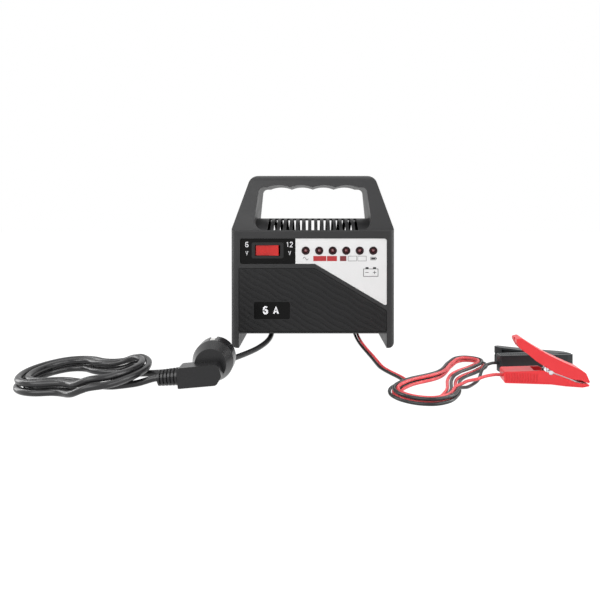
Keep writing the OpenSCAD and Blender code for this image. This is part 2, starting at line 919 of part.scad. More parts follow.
module base_plate() {
    color(near_black)
        difference() {
            plan_view(
                rounded(box_corners(foot_in - fit, half_d - wall - fit), [3, 3, 3, 3]),
                base_z, base_top);
            for (p = base_screw_xy)
                translate([p[0], p[1], base_z - 1]) {
                    cylinder(r = screw_r + running, h = base_t + 2);
                    cylinder(r = screw_head_r + fit, h = base_head_h + 1);
                }
            for (exit = [mains_exit, leads_exit])
                along_sleeve(exit)
                    translate([0, 0, -25])
                        cylinder(r = neck_r + running, h = 50);
            for (p = concat([for (side = [-1, 1]) [core_at[0] + side * clamp_screw_x, core_at[1]]], sink_screws))
                translate([p[0], p[1], base_z - 1])
                    cylinder(r = inner_screw_r + running, h = base_t + 2);
        }
}

module base_screws() {
    color(steel)
        for (p = base_screw_xy)
            translate([p[0], p[1], base_z])
                difference() {
                    union() {
                        cylinder(r = screw_head_r, h = base_head_h);
                        translate([0, 0, base_head_h])
                            cylinder(r = screw_r, h = base_t - base_head_h + base_boss_h - 4);
                    }
                    for (turn = [0, 90])
                        rotate([0, 0, turn])
                            cube([4, 0.9, 1.4], center = true);
                }
}

// ---- Cords: tubes swept along round routes, which lie on the floor at z = 0 ----
function cross_up(t) = unit(cross(t, [0, 0, 1]));

// The direction of the route at point i, given its first and last directions
function heading(route, i, first, last) =
    i == 0 ? first :
    i == len(route) - 1 ? last :
    unit(unit(route[i + 1] - route[i]) + unit(route[i] - route[i - 1]));

module tube(route, d, sides, first, last) {
    n = len(route);
    rings = [for (i = [0:n - 1])
        let (t = heading(route, i, first, last), side = cross_up(t), up = cross(side, t))
        for (j = [0:sides - 1])
            route[i] + d / 2 * (cos(360 * j / sides) * side + sin(360 * j / sides) * up)];
    walls = [for (i = [0:n - 2], j = [0:sides - 1])
        let (a = i * sides + j, b = i * sides + (j + 1) % sides)
        each [[a, b, b + sides], [a, b + sides, a + sides]]];
    caps = [for (j = [1:sides - 2])
        each [[0, j + 1, j], [(n - 1) * sides, (n - 1) * sides + j, (n - 1) * sides + j + 1]]];
    polyhedron(rings, concat(walls, caps));
}

// A smooth route through the given points, with parts rings between one and the next
function spline(p, parts) =
    let (n = len(p))
    concat(
        [for (i = [0:n - 2], j = [0:parts - 1])
            let (
                t = j / parts,
                a = i == 0 ? 2 * p[0] - p[1] : p[i - 1],
                b = p[i],
                c = p[i + 1],
                d = i == n - 2 ? 2 * p[n - 1] - p[n - 2] : p[i + 2]
            )
            0.5 * (2 * b + (c - a) * t + (2 * a - 5 * b + 4 * c - d) * t * t
                + (3 * b - a - 3 * c + d) * t * t * t)],
        [p[n - 1]]);

// A hank's track: a loop drawn in at its waist, as a ring of points at the corners' arcs
turn_corner = [0, 0, 1, 2, 2, 2, 3, 3, 3, 4, 5, 5, 5, 6, 7, 7, 7, 8, 8, 8, 9, 0];
turn_part = [3, 5, 3, 1, 3, 5, 1, 3, 5, 3, 1, 3, 5, 3, 1, 3, 5, 1, 3, 5, 3, 1];
loop_rings = 22;

function arc_point(p, q, r, rad, part) =
    let (
        a = unit(p - q),
        b = unit(r - q),
        half = acos(a * b) / 2,
        c = q + unit(a + b) * rad / sin(half),
        s = q + a * rad / tan(half) - c,
        e = q + b * rad / tan(half) - c,
        from = atan2(s[1], s[0]),
        at = from + short_way(atan2(e[1], e[0]) - from) * part
    )
    c + rad * [cos(at), sin(at)];

function track_point(corners, radii, gap, i) =
    let (
        pts = inset(corners, gap),
        n = len(pts),
        c = turn_corner[i % loop_rings],
        waist = c == 0 || c == 5
    )
    arc_point(pts[(c + n - 1) % n], pts[c], pts[(c + 1) % n],
        radii[c] + (waist ? gap : -gap), turn_part[i % loop_rings] / 6);

function turned(p, angle) =
    [p[0] * cos(angle) - p[1] * sin(angle), p[0] * sin(angle) + p[1] * cos(angle)];
function placed(p, at, angle, z) =
    let (q = turned(p, angle)) [at[0] + q[0], at[1] + q[1], z];
function ease(t) = (1 - cos(180 * max(0, min(1, t)))) / 2;

// ---- Mains hank: three and a half turns in two layers ----
mains_r = mains_d / 2;
mains_step = mains_d + 1.8;
mains_layer = mains_d + 0.8;
mains_fold = 3 * mains_d;
mains_turns = 3.5;
mains_reach = 1.5 * mains_step;
mains_lobe_r = mains_fold + mains_reach;
mains_waist = 33;
// Slope of the sides that draw in to the waist
mains_slope = 30;
mains_t = mains_lobe_r * tan(mains_slope / 2);
mains_side = mains_t + mains_fold * tan(mains_slope);
mains_c = mains_side * cos(mains_slope);
mains_b = mains_waist + mains_side * sin(mains_slope);
mains_a = mains_c + mains_lobe_r + mains_t;
mains_hank_at = [-204, -170];
mains_hank_angle = -12;
mains_corners = [
    [0, mains_waist], [-mains_c, mains_b], [-mains_a, mains_b], [-mains_a, -mains_b],
    [-mains_c, -mains_b], [0, -mains_waist], [mains_c, -mains_b], [mains_a, -mains_b],
    [mains_a, mains_b], [mains_c, mains_b]];
mains_radii = [
    mains_fold, mains_lobe_r, mains_lobe_r, mains_lobe_r, mains_lobe_r,
    mains_fold, mains_lobe_r, mains_lobe_r, mains_lobe_r, mains_lobe_r];

function mains_gap(turn) =
    mains_step * (turn < 1.5 ? 1.5 - turn : turn < 2 ? 0 : turn - 2);
// The right-hand lobe rests on the two ends of the cord, which pass below it
function mains_lift(x) = (mains_d + 0.6) * ease((x - 10) / 22);
function mains_height(turn, x) =
    mains_r + mains_layer * ease((turn - 1.5) * 2) + mains_lift(x);
mains_hank_route = [
    for (i = [0:mains_turns * loop_rings])
        let (turn = i / loop_rings, p = track_point(mains_corners, mains_radii, mains_gap(turn), i))
        placed(p, mains_hank_at, mains_hank_angle, mains_height(turn, p[0]))];
function mains_spot(x, y, z) = placed([x, y], mains_hank_at, mains_hank_angle, z);
mains_in = placed([-1, 0], [0, 0], mains_hank_angle, 0);
mains_out = placed([1, 0], [0, 0], mains_hank_angle, 0);
mains_first = mains_hank_route[0];
mains_last = mains_hank_route[len(mains_hank_route) - 1];

// ---- Plug: a right-angled two-pin plug with earth strips, lying on its rim ----
plug_at = [-90, -168, plug_head_d / 2];
plug_roll = -5;
plug_face = 18;
plug_cable_y = -14;
plug_cable_z = -6.5;
plug_block_l = 27;
boot_l = 18.5;
function plug_spot(p) =
    plug_at + [p[0] * cos(plug_roll) + p[2] * sin(plug_roll), p[1],
        p[2] * cos(plug_roll) - p[0] * sin(plug_roll)];
plug_dir = [cos(plug_roll), 0, -sin(plug_roll)];
boot_end = plug_spot([-plug_block_l - boot_l, plug_cable_y, plug_cable_z]);

mains_lead_route = concat(
    [mains_start],
    spline([
        mains_start + mains_d * sleeve_dir, mains_start + [-0.1, -17, -6.6],
        mains_start + [-1, -30, -9.6], [-52.5, -44, 6.6], [-60, -60, 4.1],
        [-69, -76, 3], [-79, -94, mains_r], [-90.5, -111, mains_r], [-104.5, -126.5, mains_r],
        [-122, -140.5, mains_r], [-142, -148.5, mains_r], mains_spot(36, 27, mains_r),
        mains_spot(17, 26.5, mains_r), mains_first], 2));
mains_tail_route = concat(
    spline([
        mains_last, mains_last + 12 * mains_out - [0, 0, 0.5], mains_spot(24, -19.5, 5.6),
        mains_spot(35.5, -11.5, mains_r), boot_end - [25, 2.2, 5], boot_end - [18.5, 0.6, 4.6],
        boot_end - [12, 0, 2.9], boot_end - [6, 0, 0.9]], 2),
    [boot_end]);

// A smooth route sinks no lower than the floor that it lies on
function grounded(route, r) = [for (p = route) [p[0], p[1], max(p[2], r)]];

mains_colour = [0.11, 0.11, 0.12];

module mains_lead() {
    color(mains_colour)
        tube(grounded(mains_lead_route, mains_r), mains_d, 10, sleeve_dir, mains_in);
}

module mains_hank() {
    color(mains_colour)
        tube(mains_hank_route, mains_d, 6, mains_in, mains_out);
}

module mains_tail() {
    color(mains_colour)
        tube(grounded(mains_tail_route, mains_r), mains_d, 10, mains_out, plug_dir);
}

module in_plug() {
    translate(plug_at)
        rotate([0, plug_roll, 0])
            children();
}

module plug_boot() {
    color(near_black)
        in_plug()
            translate([-plug_block_l, plug_cable_y, plug_cable_z])
                rotate([0, -90, 0]) {
                    cylinder(r1 = 6.2, r2 = 5.2, h = boot_l);
                    for (i = [0:5])
                        translate([0, 0, i * boot_l / 6 + 0.6])
                            cylinder(r = 7.6 - i * 0.15, h = boot_l / 6 - 1.4);
                }
}

strip_w = 4.6;
strip_slot = 1.8;
// A pin is thinner where the plug's body holds it
pin_root_r = pin_d / 2 - 0.2;

module plug_body() {
    head_r = plug_head_d / 2;
    color(near_black)
        in_plug()
            difference() {
                union() {
                    along_y(0, 0, 2, plug_face, head_r);
                    translate([0, 2, 0])
                        rotate([90, 0, 0])
                            cylinder(r1 = head_r, r2 = head_r - 4.5, h = 13);
                    front_view(
                        rounded([[-plug_block_l, -15.2], [6, -15.2], [11, -8], [9, 2.6], [-plug_block_l, 2.6]],
                            [1, 4, 3, 4, 3]),
                        plug_cable_y - 8.5, -6);
                }
                for (side = [-1, 1]) {
                    along_y(side * pin_gap / 2, 0, plug_face - 10, plug_face + 1, pin_root_r + running);
                    block(
                        [-strip_w / 2 - 0.6, 4, side > 0 ? head_r - strip_slot : -head_r - 1],
                        [strip_w / 2 + 0.6, plug_face + 1, side > 0 ? head_r + 1 : strip_slot - head_r]);
                }
            }
}

module plug_pins() {
    color(steel)
        in_plug()
            for (side = [-1, 1]) {
                along_y(side * pin_gap / 2, 0, plug_face - 10, plug_face, pin_root_r);
                along_y(side * pin_gap / 2, 0, plug_face, plug_face + pin_l - 2, pin_d / 2);
                translate([side * pin_gap / 2, plug_face + pin_l - 2, 0])
                    rotate([-90, 0, 0])
                        cylinder(r1 = pin_d / 2, r2 = pin_d / 2 - 1, h = 2);
            }
}

module plug_earth_strips() {
    seat = plug_head_d / 2 - strip_slot;
    color(steel)
        in_plug()
            for (side = [0, 180])
                rotate([0, side, 0])
                    side_view(
                        [[5, seat], [plug_face - 1, seat], [plug_face - 1, seat + 0.6],
                            [plug_face - 5, seat + 1.4], [9, seat + 1.4], [5, seat + 0.6]],
                        strip_w);
}

// ---- Battery leads: two side by side, with a hank of two layers ----
lead_r = lead_d / 2;
lead_step = lead_d + lead_gap;
pair_step = 2 * lead_step;
lead_layer = lead_step;
lead_loops_end = 53;
lead_loops_start = 2;
lead_climb = 1.215;
lead_fold = 3 * lead_d;
right_lobe_r = lead_fold + 1.5 * pair_step;
left_lobe_r = 26;
waist_r = 30;
lead_waist = 14.5;
lead_corners = [
    [0, lead_waist], [-40, 28], [-80, 28], [-80, -28], [-40, -28],
    [0, -lead_waist], [38, -20], [76, -20], [76, 20], [38, 20]];
lead_radii = [
    waist_r, left_lobe_r, left_lobe_r, left_lobe_r, left_lobe_r,
    waist_r, right_lobe_r, right_lobe_r, right_lobe_r, right_lobe_r];
lead_hank_at = [123, -159];
lead_hank_angle = 54;

// The pair winds inwards on the floor for a little over a turn, climbs, and winds out again
function lead_gap_at(turn) =
    pair_step * (turn < lead_climb + 0.125 ? turn : 2 * lead_climb + 0.25 - turn);
function lead_height(turn) = lead_r + lead_layer * ease((turn - lead_climb) * 4);
function lead_track(inner, i) =
    let (
        turn = (i - lead_loops_start) / loop_rings,
        p = track_point(lead_corners, lead_radii, lead_gap_at(turn) + inner * lead_step, i)
    )
    placed(p, lead_hank_at, lead_hank_angle, lead_height(turn));
function lead_hank_route(inner) =
    [for (i = [lead_loops_start:lead_loops_end]) lead_track(inner, i)];
lead_turn = atan((28 - lead_waist) / 40) / 2;
lead_in = placed(turned([-1, 0], -lead_turn), [0, 0], lead_hank_angle, 0);
lead_out = placed(turned([1, 0], lead_turn), [0, 0], lead_hank_angle, 0);

// The middle of the pair, from its sleeve to its hank
lead_middle = let (end = (lead_track(0, lead_loops_start) + lead_track(1, lead_loops_start)) / 2)
    concat(
        [leads_start],
        spline([
            leads_start + lead_d * sleeve_dir, leads_start + [0.3, -14, -6.6], leads_start + [1.6, -28, -10.4],
            [54.5, -46, 5.2], [58.5, -66, 2.9], [62, -86, 1.8], [64.5, -106, lead_r], [67, -125, lead_r],
            [72.5, -141, lead_r], [79, -155.5, lead_r], [82.1, -165.5, lead_r], [80.5, -173.2, lead_r],
            end], 2));

// One lead of the pair: inner is 1 on the left of its way and 0 on the right
function beside(route, inner, first, last) =
    [for (i = [0:len(route) - 1])
        route[i] + (0.5 - inner) * lead_step * cross_up(heading(route, i, first, last))];
function lead_route(inner) = beside(lead_middle, inner, sleeve_dir, lead_in);

// ---- Battery clips, drawn with the jaws along +X, the levers open along +Z and the pin along Y ----
clip_k = clip_l / 75.4;
clip_tail = clip_k * [-39, -7.7];
pin_at = clip_k * [3, -2.5];
spring_turns = 3;
spring_r = 2.9;
spring_pitch = spring_wire_d + 0.45;
ear_out = clip_w / 2 - 2.1;
ear_gap = 0.2;
clip_channel = ear_out + 0.35;
clip_lift = clip_w / 2 + 0.3;
red_at = [206.5, -173, 14.8 * clip_k + 0.2];
red_yaw = -6;
black_at = [214.4, -124.5, clip_lift];
black_yaw = 5;

module in_red_clip() {
    translate(red_at)
        rotate([0, 0, red_yaw])
            children();
}

module in_black_clip() {
    translate(black_at)
        rotate([-90, 0, black_yaw])
            children();
}

function red_spot(u, v, w) =
    let (q = turned([u, w], red_yaw)) red_at + [q[0], q[1], v];
function black_spot(u, v, w) =
    let (q = turned([u, v], black_yaw)) black_at + [q[0], q[1], -w];
red_end = red_spot(clip_tail[0], clip_tail[1], 0);
red_dir = [cos(red_yaw), sin(red_yaw), 0];
black_end = black_spot(clip_tail[0], clip_tail[1], 0);
black_dir = [cos(black_yaw), sin(black_yaw), 0];
red_hank_end = lead_track(1, lead_loops_end);
black_hank_end = lead_track(0, lead_loops_end);
red_tail_route = concat(
    spline([
        red_hank_end, red_hank_end + 8 * lead_out + [0, 0, 0.5], [128, -190, 5.6], [135, -183, 5.8],
        [145, -176.2, 5.2], [154, -170.9, 6.2], red_end - 6 * red_dir], 2),
    [red_end]);
black_tail_route = concat(
    spline([
        black_hank_end, black_hank_end + 9 * lead_out, [131.5, -191, 2.8], [139.5, -180, lead_r],
        [147.5, -169, lead_r], [153.5, -157, 2.2], [158.5, -147, 4.6], [165, -139, 7.2],
        black_end - 6 * black_dir], 2),
    [black_end]);

red_colour = [0.86, 0.12, 0.13];
black_colour = [0.07, 0.07, 0.08];

module red_lead() {
    color(red_colour)
        tube(grounded(lead_route(1), lead_r), lead_d, 8, sleeve_dir, lead_in);
}

module black_lead() {
    color(black_colour)
        tube(grounded(lead_route(0), lead_r), lead_d, 8, sleeve_dir, lead_in);
}

module red_hank() {
    color(red_colour)
        tube(lead_hank_route(1), lead_d, 6, lead_in, lead_out);
}

module black_hank() {
    color(black_colour)
        tube(lead_hank_route(0), lead_d, 6, lead_in, lead_out);
}

module red_tail() {
    color(red_colour)
        tube(grounded(red_tail_route, lead_r), lead_d, 8, lead_out, red_dir);
}

module black_tail() {
    color(black_colour)
        tube(grounded(black_tail_route, lead_r), lead_d, 8, lead_out, black_dir);
}

base_outline = clip_k * [
    [-39, -2.5], [-39, -12.9], [2.7, -12.9], [15.7, -14.2], [30, -14.8], [36.4, -13.4],
    [35.4, -11.6], [30, -11.4], [25, -10.7], [21, -8.9], [15.7, -6.8], [6, -3.6], [1, -2.8], [-4, -0.4]];
base_radii = clip_k * [1.5, 1.5, 0, 0, 2, 0.6, 0.6, 0, 2, 2, 0, 0, 0, 2];
base_channel = clip_k * [[-12, -11.4], [2.7, -11.4], [30, -13.2], [34.4, -12.8], [34.4, 6], [-12, 6]];
lever_outline = clip_k * [
    [-28, 25], [-24.7, 19.1], [-18.1, 14.5], [-10.3, 8], [0.1, 1.5], [6, -2.3], [15.7, -5.7],
    [21, -7.6], [28.8, -8.3], [35.3, -10.7], [36.6, -9.6], [33.3, -1.8], [28.8, 1.4],
    [14.4, 7.4], [2, 13.2], [-7.1, 18.4], [-15.5, 23.6], [-23.4, 28.9], [-28, 27.5]];
lever_radii = clip_k * [1.5, 2, 0, 0, 0, 0, 0, 2, 2, 0.4, 0.8, 2, 3, 0, 0, 0, 0, 2, 1];
lever_channel = clip_k * [
    [-24, 12], [34.2, -16], [34.2, -8], [32, -2.8], [28, 0], [13.8, 5.9], [1.3, 11.8],
    [-7.8, 17], [-16.4, 22.2], [-23, 26]];
base_ear = clip_k * [
    [-6, -11.2], [2.7, -11.2], [30, -13], [33.8, -12.7], [33.6, -11.9], [26, -10.2],
    [12, -4.6], [7, -1.2], [-1.2, -1.2]];
lever_ear = clip_k * [
    [3, -6.2], [6.8, -3.6], [12, -4.1], [26, -7.9], [33.8, -9.6], [33.6, -8.2], [27.6, -0.6],
    [13.6, 5.2], [3, 10], [-0.8, -1]];

module clip_side(points, half) {
    front_view(points, -half, half);
}

module clip_base() {
    difference() {
        clip_side(rounded(base_outline, base_radii, 4), clip_w / 2);
        clip_side(base_channel, clip_channel);
        for (i = [0:11], side = [-1, 1])
            translate([clip_k * (i * 2.4 - 36.5), side * clip_w / 2, -7.5 * clip_k])
                cube([1.1, 1, 8 * clip_k], center = true);
        along_y(pin_at[0], pin_at[1], -clip_w, clip_w, clip_pin_d / 2 + 0.6);
    }
}

module clip_lever() {
    difference() {
        clip_side(rounded(lever_outline, lever_radii, 4), clip_w / 2);
        clip_side(lever_channel, clip_channel);
        along_y(pin_at[0], pin_at[1], -clip_w, clip_w, clip_pin_d / 2 + 0.6);
        translate([-26 * clip_k, 0, 24.8 * clip_k])
            rotate([0, -55.6, 0])
                cylinder(r = 1.8, h = 12, center = true);
    }
}

module jaw_plates(points, outside, web_low, web_high) {
    difference() {
        for (side = [-1, 1])
            front_view(
                points,
                side > 0 ? outside - jaw_t : -outside,
                side > 0 ? outside : jaw_t - outside);
        along_y(pin_at[0], pin_at[1], -clip_w, clip_w, clip_pin_d / 2 + running);
    }
    translate([(web_low[0] + web_high[0]) / 2, 0, (web_low[1] + web_high[1]) / 2])
        cube([web_high[0] - web_low[0], 2 * (outside - jaw_t), web_high[1] - web_low[1]], center = true);
}

module clip_base_jaw() {
    jaw_plates(base_ear, ear_out, clip_k * [-5, -11.2], clip_k * [2.6, -10.2]);
}

module clip_lever_jaw() {
    jaw_plates(lever_ear, ear_out - jaw_t - ear_gap, clip_k * [4, 7.8], clip_k * [6, 8.8]);
}

module clip_pin() {
    along_y(pin_at[0], pin_at[1], -ear_out, ear_out, clip_pin_d / 2);
    for (side = [-1, 1])
        along_y(pin_at[0], pin_at[1],
            side > 0 ? ear_out : -ear_out - 0.8, side > 0 ? ear_out + 0.8 : -ear_out, clip_pin_d / 2 + 0.4);
}

spring_steps = 8 * spring_turns;
spring_coil = [
    for (i = [0:spring_steps])
        let (a = -90 + 45 * i)
        [pin_at[0] + spring_r * cos(a), spring_pitch * (i / 8 - spring_turns / 2),
            pin_at[1] + spring_r * sin(a)]];

module clip_spring() {
    // The coil and its two straight legs are one wire
    route = concat(
        [spring_coil[0] + [-13, 0, -0.4], spring_coil[0] + [-2, 0, 0]],
        spring_coil,
        [spring_coil[spring_steps] + [7, 0, 0.4]]);
    wire(route, spring_wire_d, 6);
}

// A tube whose rings are square to a route that turns about the Y axis
module wire(route, d, sides) {
    n = len(route);
    rings = [for (i = [0:n - 1])
        let (
            t = heading(route, i, unit(route[1] - route[0]), unit(route[n - 1] - route[n - 2])),
            side = unit(cross(t, [0, 1, 0])),
            up = cross(side, t)
        )
        for (j = [0:sides - 1])
            route[i] + d / 2 * (cos(360 * j / sides) * side + sin(360 * j / sides) * up)];
    walls = [for (i = [0:n - 2], j = [0:sides - 1])
        let (a = i * sides + j, b = i * sides + (j + 1) % sides)
        each [[a, b, b + sides], [a, b + sides, a + sides]]];
    caps = [for (j = [1:sides - 2])
        each [[0, j + 1, j], [(n - 1) * sides, (n - 1) * sides + j, (n - 1) * sides + j + 1]]];
    polyhedron(rings, concat(walls, caps));
}

clip_red = [0.93, 0.2, 0.22];
clip_black = [0.14, 0.15, 0.16];

module red_clip_base() {
    color(clip_red)
        in_red_clip()
            clip_base();
}

module red_clip_lever() {
    color(clip_red)
        in_red_clip()
            clip_lever();
}

module red_clip_base_jaw() {
    color(steel)
        in_red_clip()
            clip_base_jaw();
}

module red_clip_lever_jaw() {
    color(steel)
        in_red_clip()
            clip_lever_jaw();
}

module red_clip_pin() {
    color(steel)
        in_red_clip()
            clip_pin();
}

module red_clip_spring() {
    color(steel)
        in_red_clip()
            clip_spring();
}

module black_clip_base() {
    color(clip_black)
        in_black_clip()
            clip_base();
}

module black_clip_lever() {
    color(clip_black)
        in_black_clip()
            clip_lever();
}

module black_clip_base_jaw() {
    color(steel)
        in_black_clip()
            clip_base_jaw();
}

module black_clip_lever_jaw() {
    color(steel)
        in_black_clip()
            clip_lever_jaw();
}

module black_clip_pin() {
    color(steel)
        in_black_clip()
            clip_pin();
}

module black_clip_spring() {
    color(steel)
        in_black_clip()
            clip_spring();
}

// ---- Checks on the routes: least gap from a wound tube to itself, in millimetres ----
function least(v) = min(v);
function run_length(route) =
    [for (i = [1:len(route) - 1]) norm(route[i] - route[i - 1])] * [for (i = [1:len(route) - 1]) 1];
function self_gap(route, d, skip) =
    least([for (i = [0:len(route) - 1], j = [i + skip:1:len(route) - 1]) norm(route[i] - route[j])]) - d;
echo(mains_hank_gap = self_gap(mains_hank_route, mains_d, 6));
echo(red_hank_gap = self_gap(lead_hank_route(1), lead_d, 6));
echo(black_hank_gap = self_gap(lead_hank_route(0), lead_d, 6));
echo(mains_length = sleeve_l + run_length(mains_lead_route) + run_length(mains_hank_route) + run_length(mains_tail_route));
echo(red_length = run_length(lead_route(1)) + run_length(lead_hank_route(1)) + run_length(red_tail_route));
echo(black_length = run_length(lead_route(0)) + run_length(lead_hank_route(0)) + run_length(black_tail_route));

front_cover();
rear_cover();
base_plate();
front_panel();
switch_plate();
display_label();
rating_plate();
lamp_collars();
lamps();
lamp_board();
rocker_frame();
rocker();
switch_tabs();
transformer_core();
bobbin();
primary_winding();
secondary_winding();
core_clamp();
heat_sink();
rectifier();
thermal_cutout();
case_screws();
base_screws();
inner_screws();
mains_sleeve();
mains_lead();
mains_hank();
mains_tail();
plug_boot();
plug_body();
plug_pins();
plug_earth_strips();
lead_sleeve();
red_lead();
black_lead();
red_hank();
black_hank();
red_tail();
black_tail();
red_clip_base();
red_clip_lever();
red_clip_base_jaw();
red_clip_lever_jaw();
red_clip_pin();
red_clip_spring();
black_clip_base();
black_clip_lever();
black_clip_base_jaw();
black_clip_lever_jaw();
black_clip_pin();
black_clip_spring();
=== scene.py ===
import json
import math
from math import cos, pi, radians, sin, tan

import bmesh
import bpy
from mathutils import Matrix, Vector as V


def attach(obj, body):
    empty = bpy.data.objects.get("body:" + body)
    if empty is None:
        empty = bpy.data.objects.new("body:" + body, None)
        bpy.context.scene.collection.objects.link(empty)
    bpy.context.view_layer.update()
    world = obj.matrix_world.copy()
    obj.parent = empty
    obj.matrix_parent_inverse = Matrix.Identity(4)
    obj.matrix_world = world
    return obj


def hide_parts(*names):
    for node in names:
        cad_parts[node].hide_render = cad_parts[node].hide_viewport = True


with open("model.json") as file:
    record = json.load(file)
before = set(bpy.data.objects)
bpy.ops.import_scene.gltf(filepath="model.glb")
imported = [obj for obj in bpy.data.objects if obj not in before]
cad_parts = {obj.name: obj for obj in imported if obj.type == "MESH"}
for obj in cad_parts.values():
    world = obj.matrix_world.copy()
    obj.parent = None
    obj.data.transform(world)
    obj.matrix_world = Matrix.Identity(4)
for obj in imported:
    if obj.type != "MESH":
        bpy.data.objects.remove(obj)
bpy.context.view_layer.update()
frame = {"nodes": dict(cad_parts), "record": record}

scene = bpy.context.scene
nodes = frame["nodes"]
MM = 0.001
WHITE = (1, 1, 1, 1)


def in_scene(name, data):
    """A new object of the scene, made from its data."""
    made = bpy.data.objects.new(name, data)
    scene.collection.objects.link(made)
    return made


# ---------------------------------------------------------------- camera
EYE = (0.0, -0.651, 0.1501)
LENS = 32.28
SHIFT = (-0.0213, -0.1417)

camera = bpy.data.cameras.new("camera")
camera.sensor_width = 36.0
camera.lens = LENS
camera.shift_x, camera.shift_y = SHIFT
camera.clip_start = 0.01
scene.camera = in_scene("camera", camera)
scene.camera.location = EYE
scene.camera.rotation_euler = (pi / 2, 0, 0)
scene.view_settings.view_transform = "Standard"


# ---------------------------------------------------------------- nodes and arithmetic on them
class Tree:
    """A tree of nodes."""

    def __init__(self, tree):
        self.tree = tree

    def feed(self, node, sockets):
        """Give a node's sockets their values or links, by name or number."""
        for socket, value in sockets.items():
            if isinstance(value, Value):
                value = value.out
            if isinstance(value, bpy.types.NodeSocket):
                self.tree.links.new(value, node.inputs[socket])
            else:
                node.inputs[socket].default_value = value
        return node.outputs

    def add(self, kind, sockets=None, **settings):
        """Add a node, with its settings first and its sockets next, and give its outputs."""
        node = self.tree.nodes.new(kind)
        for setting, choice in settings.items():
            setattr(node, setting, choice)
        return self.feed(node, sockets or {})

    def kept(self, name, sockets):
        """Feed a node that the tree has from the start, and give its outputs."""
        return self.feed(self.tree.nodes[name], sockets)


class Value:
    """A number that a node gives: arithmetic on it adds Math nodes."""

    def __init__(self, tree, out):
        self.tree, self.out = tree, out

    def maths(self, operation, *values):
        sockets = dict(enumerate(values))
        return Value(self.tree, self.tree.add("ShaderNodeMath", sockets, operation=operation)[0])

    def __add__(self, other):
        return self.maths("ADD", self, other)

    def __sub__(self, other):
        return self.maths("SUBTRACT", self, other)

    def __rsub__(self, other):
        return self.maths("SUBTRACT", other, self)

    def __mul__(self, other):
        return self.maths("MULTIPLY", self, other)

    __radd__ = __add__
    __rmul__ = __mul__

    def larger(self, other):
        return self.maths("MAXIMUM", self, other)

    def step(self, low, high):
        """0 up to low, 1 from high on, and even in between."""
        rise = self.maths("DIVIDE", self - low, high - low)
        return self.maths("MINIMUM", rise.larger(0.0), 1.0)

    def wave(self, pitch):
        """A wave from 0 to 1 that comes again at each pitch."""
        return 0.5 + 0.5 * self.maths("SINE", self * (2 * pi / pitch))


# ---------------------------------------------------------------- finishes
class Finish(Tree):
    """A Principled material whose varying values come from Object coordinates."""

    def __init__(self, name, **even):
        self.material = bpy.data.materials.new(name)
        self.material.use_nodes = True
        super().__init__(self.material.node_tree)
        self.spot = self.add("ShaderNodeTexCoord")["Object"]
        self.kept("Principled BSDF", {socket.replace("_", " "): value for socket, value in even.items()})

    def along(self, axis):
        """How far a spot lies along an axis, which is 0, 1 or 2."""
        return Value(self, self.add("ShaderNodeSeparateXYZ", {0: self.spot})[axis])

    def stretched(self, scale):
        """The spot with its three numbers scaled, which draws a pattern out into streaks."""
        return self.add("ShaderNodeMapping", {"Vector": self.spot, "Scale": scale})[0]

    def noise(self, scale, detail=3.0, spot=None):
        sockets = {"Vector": spot or self.spot, "Scale": scale, "Detail": detail, "Roughness": 0.55}
        return Value(self, self.add("ShaderNodeTexNoise", sockets)["Fac"])

    def cells(self, scale):
        sockets = {"Vector": self.spot, "Scale": scale}
        return Value(self, self.add("ShaderNodeTexVoronoi", sockets)["Distance"])

    def blend(self, share, low, high):
        """A colour between two: low where the share is 0, and high where it is 1."""
        sockets = {0: share, 6: (*low, 1), 7: (*high, 1)}
        return self.add("ShaderNodeMix", sockets, data_type="RGBA")[2]

    def surface(self, colour, rough, relief, depth, reach=0.0003):
        """The finished material: its colour, its roughness, and a bump of a depth from a relief."""
        bump = self.add("ShaderNodeBump", {"Height": relief, "Strength": depth, "Distance": reach})
        self.kept("Principled BSDF", {"Base Color": colour, "Roughness": rough, "Normal": bump[0]})
        return self.material


# patterns that several finishes share, in repeats to the metre
DRIFT, RUBBED, STAIN, SPECK = 14, 45, 40, 900
# the values of a noise between which a colour goes from its low tone to its high one
TONES = (0.3, 0.7)


def scaled(colour, share):
    return tuple(min(1, c * share) for c in colour)


def around(middle, pattern, spread):
    """A roughness that drifts around its middle with a pattern."""
    return middle + spread * (pattern - 0.5)


def plastic(name, colour, rough, grain, depth, spread=0.12, coat=0.0, shine=0.28):
    """Moulded plastic: a fine grain, a slow drift of tone, and rubbed and dull patches."""
    f = Finish(name, Coat_Weight=coat, Coat_Roughness=0.15, Specular_IOR_Level=shine)
    tone = (0.7 * f.noise(DRIFT, 4) + 0.3 * f.noise(SPECK, 2)).step(*TONES)
    return f.surface(
        f.blend(tone, scaled(colour, 1 - spread), scaled(colour, 1 + spread)),
        around(rough, f.noise(RUBBED, 4), 0.25),
        0.6 * f.cells(grain) + 0.4 * f.noise(grain * 0.7, 2), depth)


def metal(name, colour, rough, along=(1, 1, 30), lines=260, depth=0.06):
    """Brushed metal: streaks along one axis, and stains."""
    f = Finish(name, Metallic=1.0)
    brushed, stain = f.noise(lines, 4, f.stretched(along)), f.noise(STAIN, 4)
    return f.surface(
        f.blend((0.6 * brushed + 0.4 * stain).step(*TONES), scaled(colour, 0.8), scaled(colour, 1.12)),
        around(rough, stain, 0.3), brushed, depth, 0.0002)


def rubber(name, colour, rough, depth=0.1, shine=0.38):
    """A cord's skin: smooth, with a soft unevenness."""
    f = Finish(name, Specular_IOR_Level=shine)
    return f.surface(
        f.blend(f.noise(60, 4).step(*TONES), scaled(colour, 0.82), scaled(colour, 1.2)),
        around(rough, f.noise(180), 0.25),
        0.7 * f.noise(2600, 2) + 0.3 * f.noise(300, 2), depth)


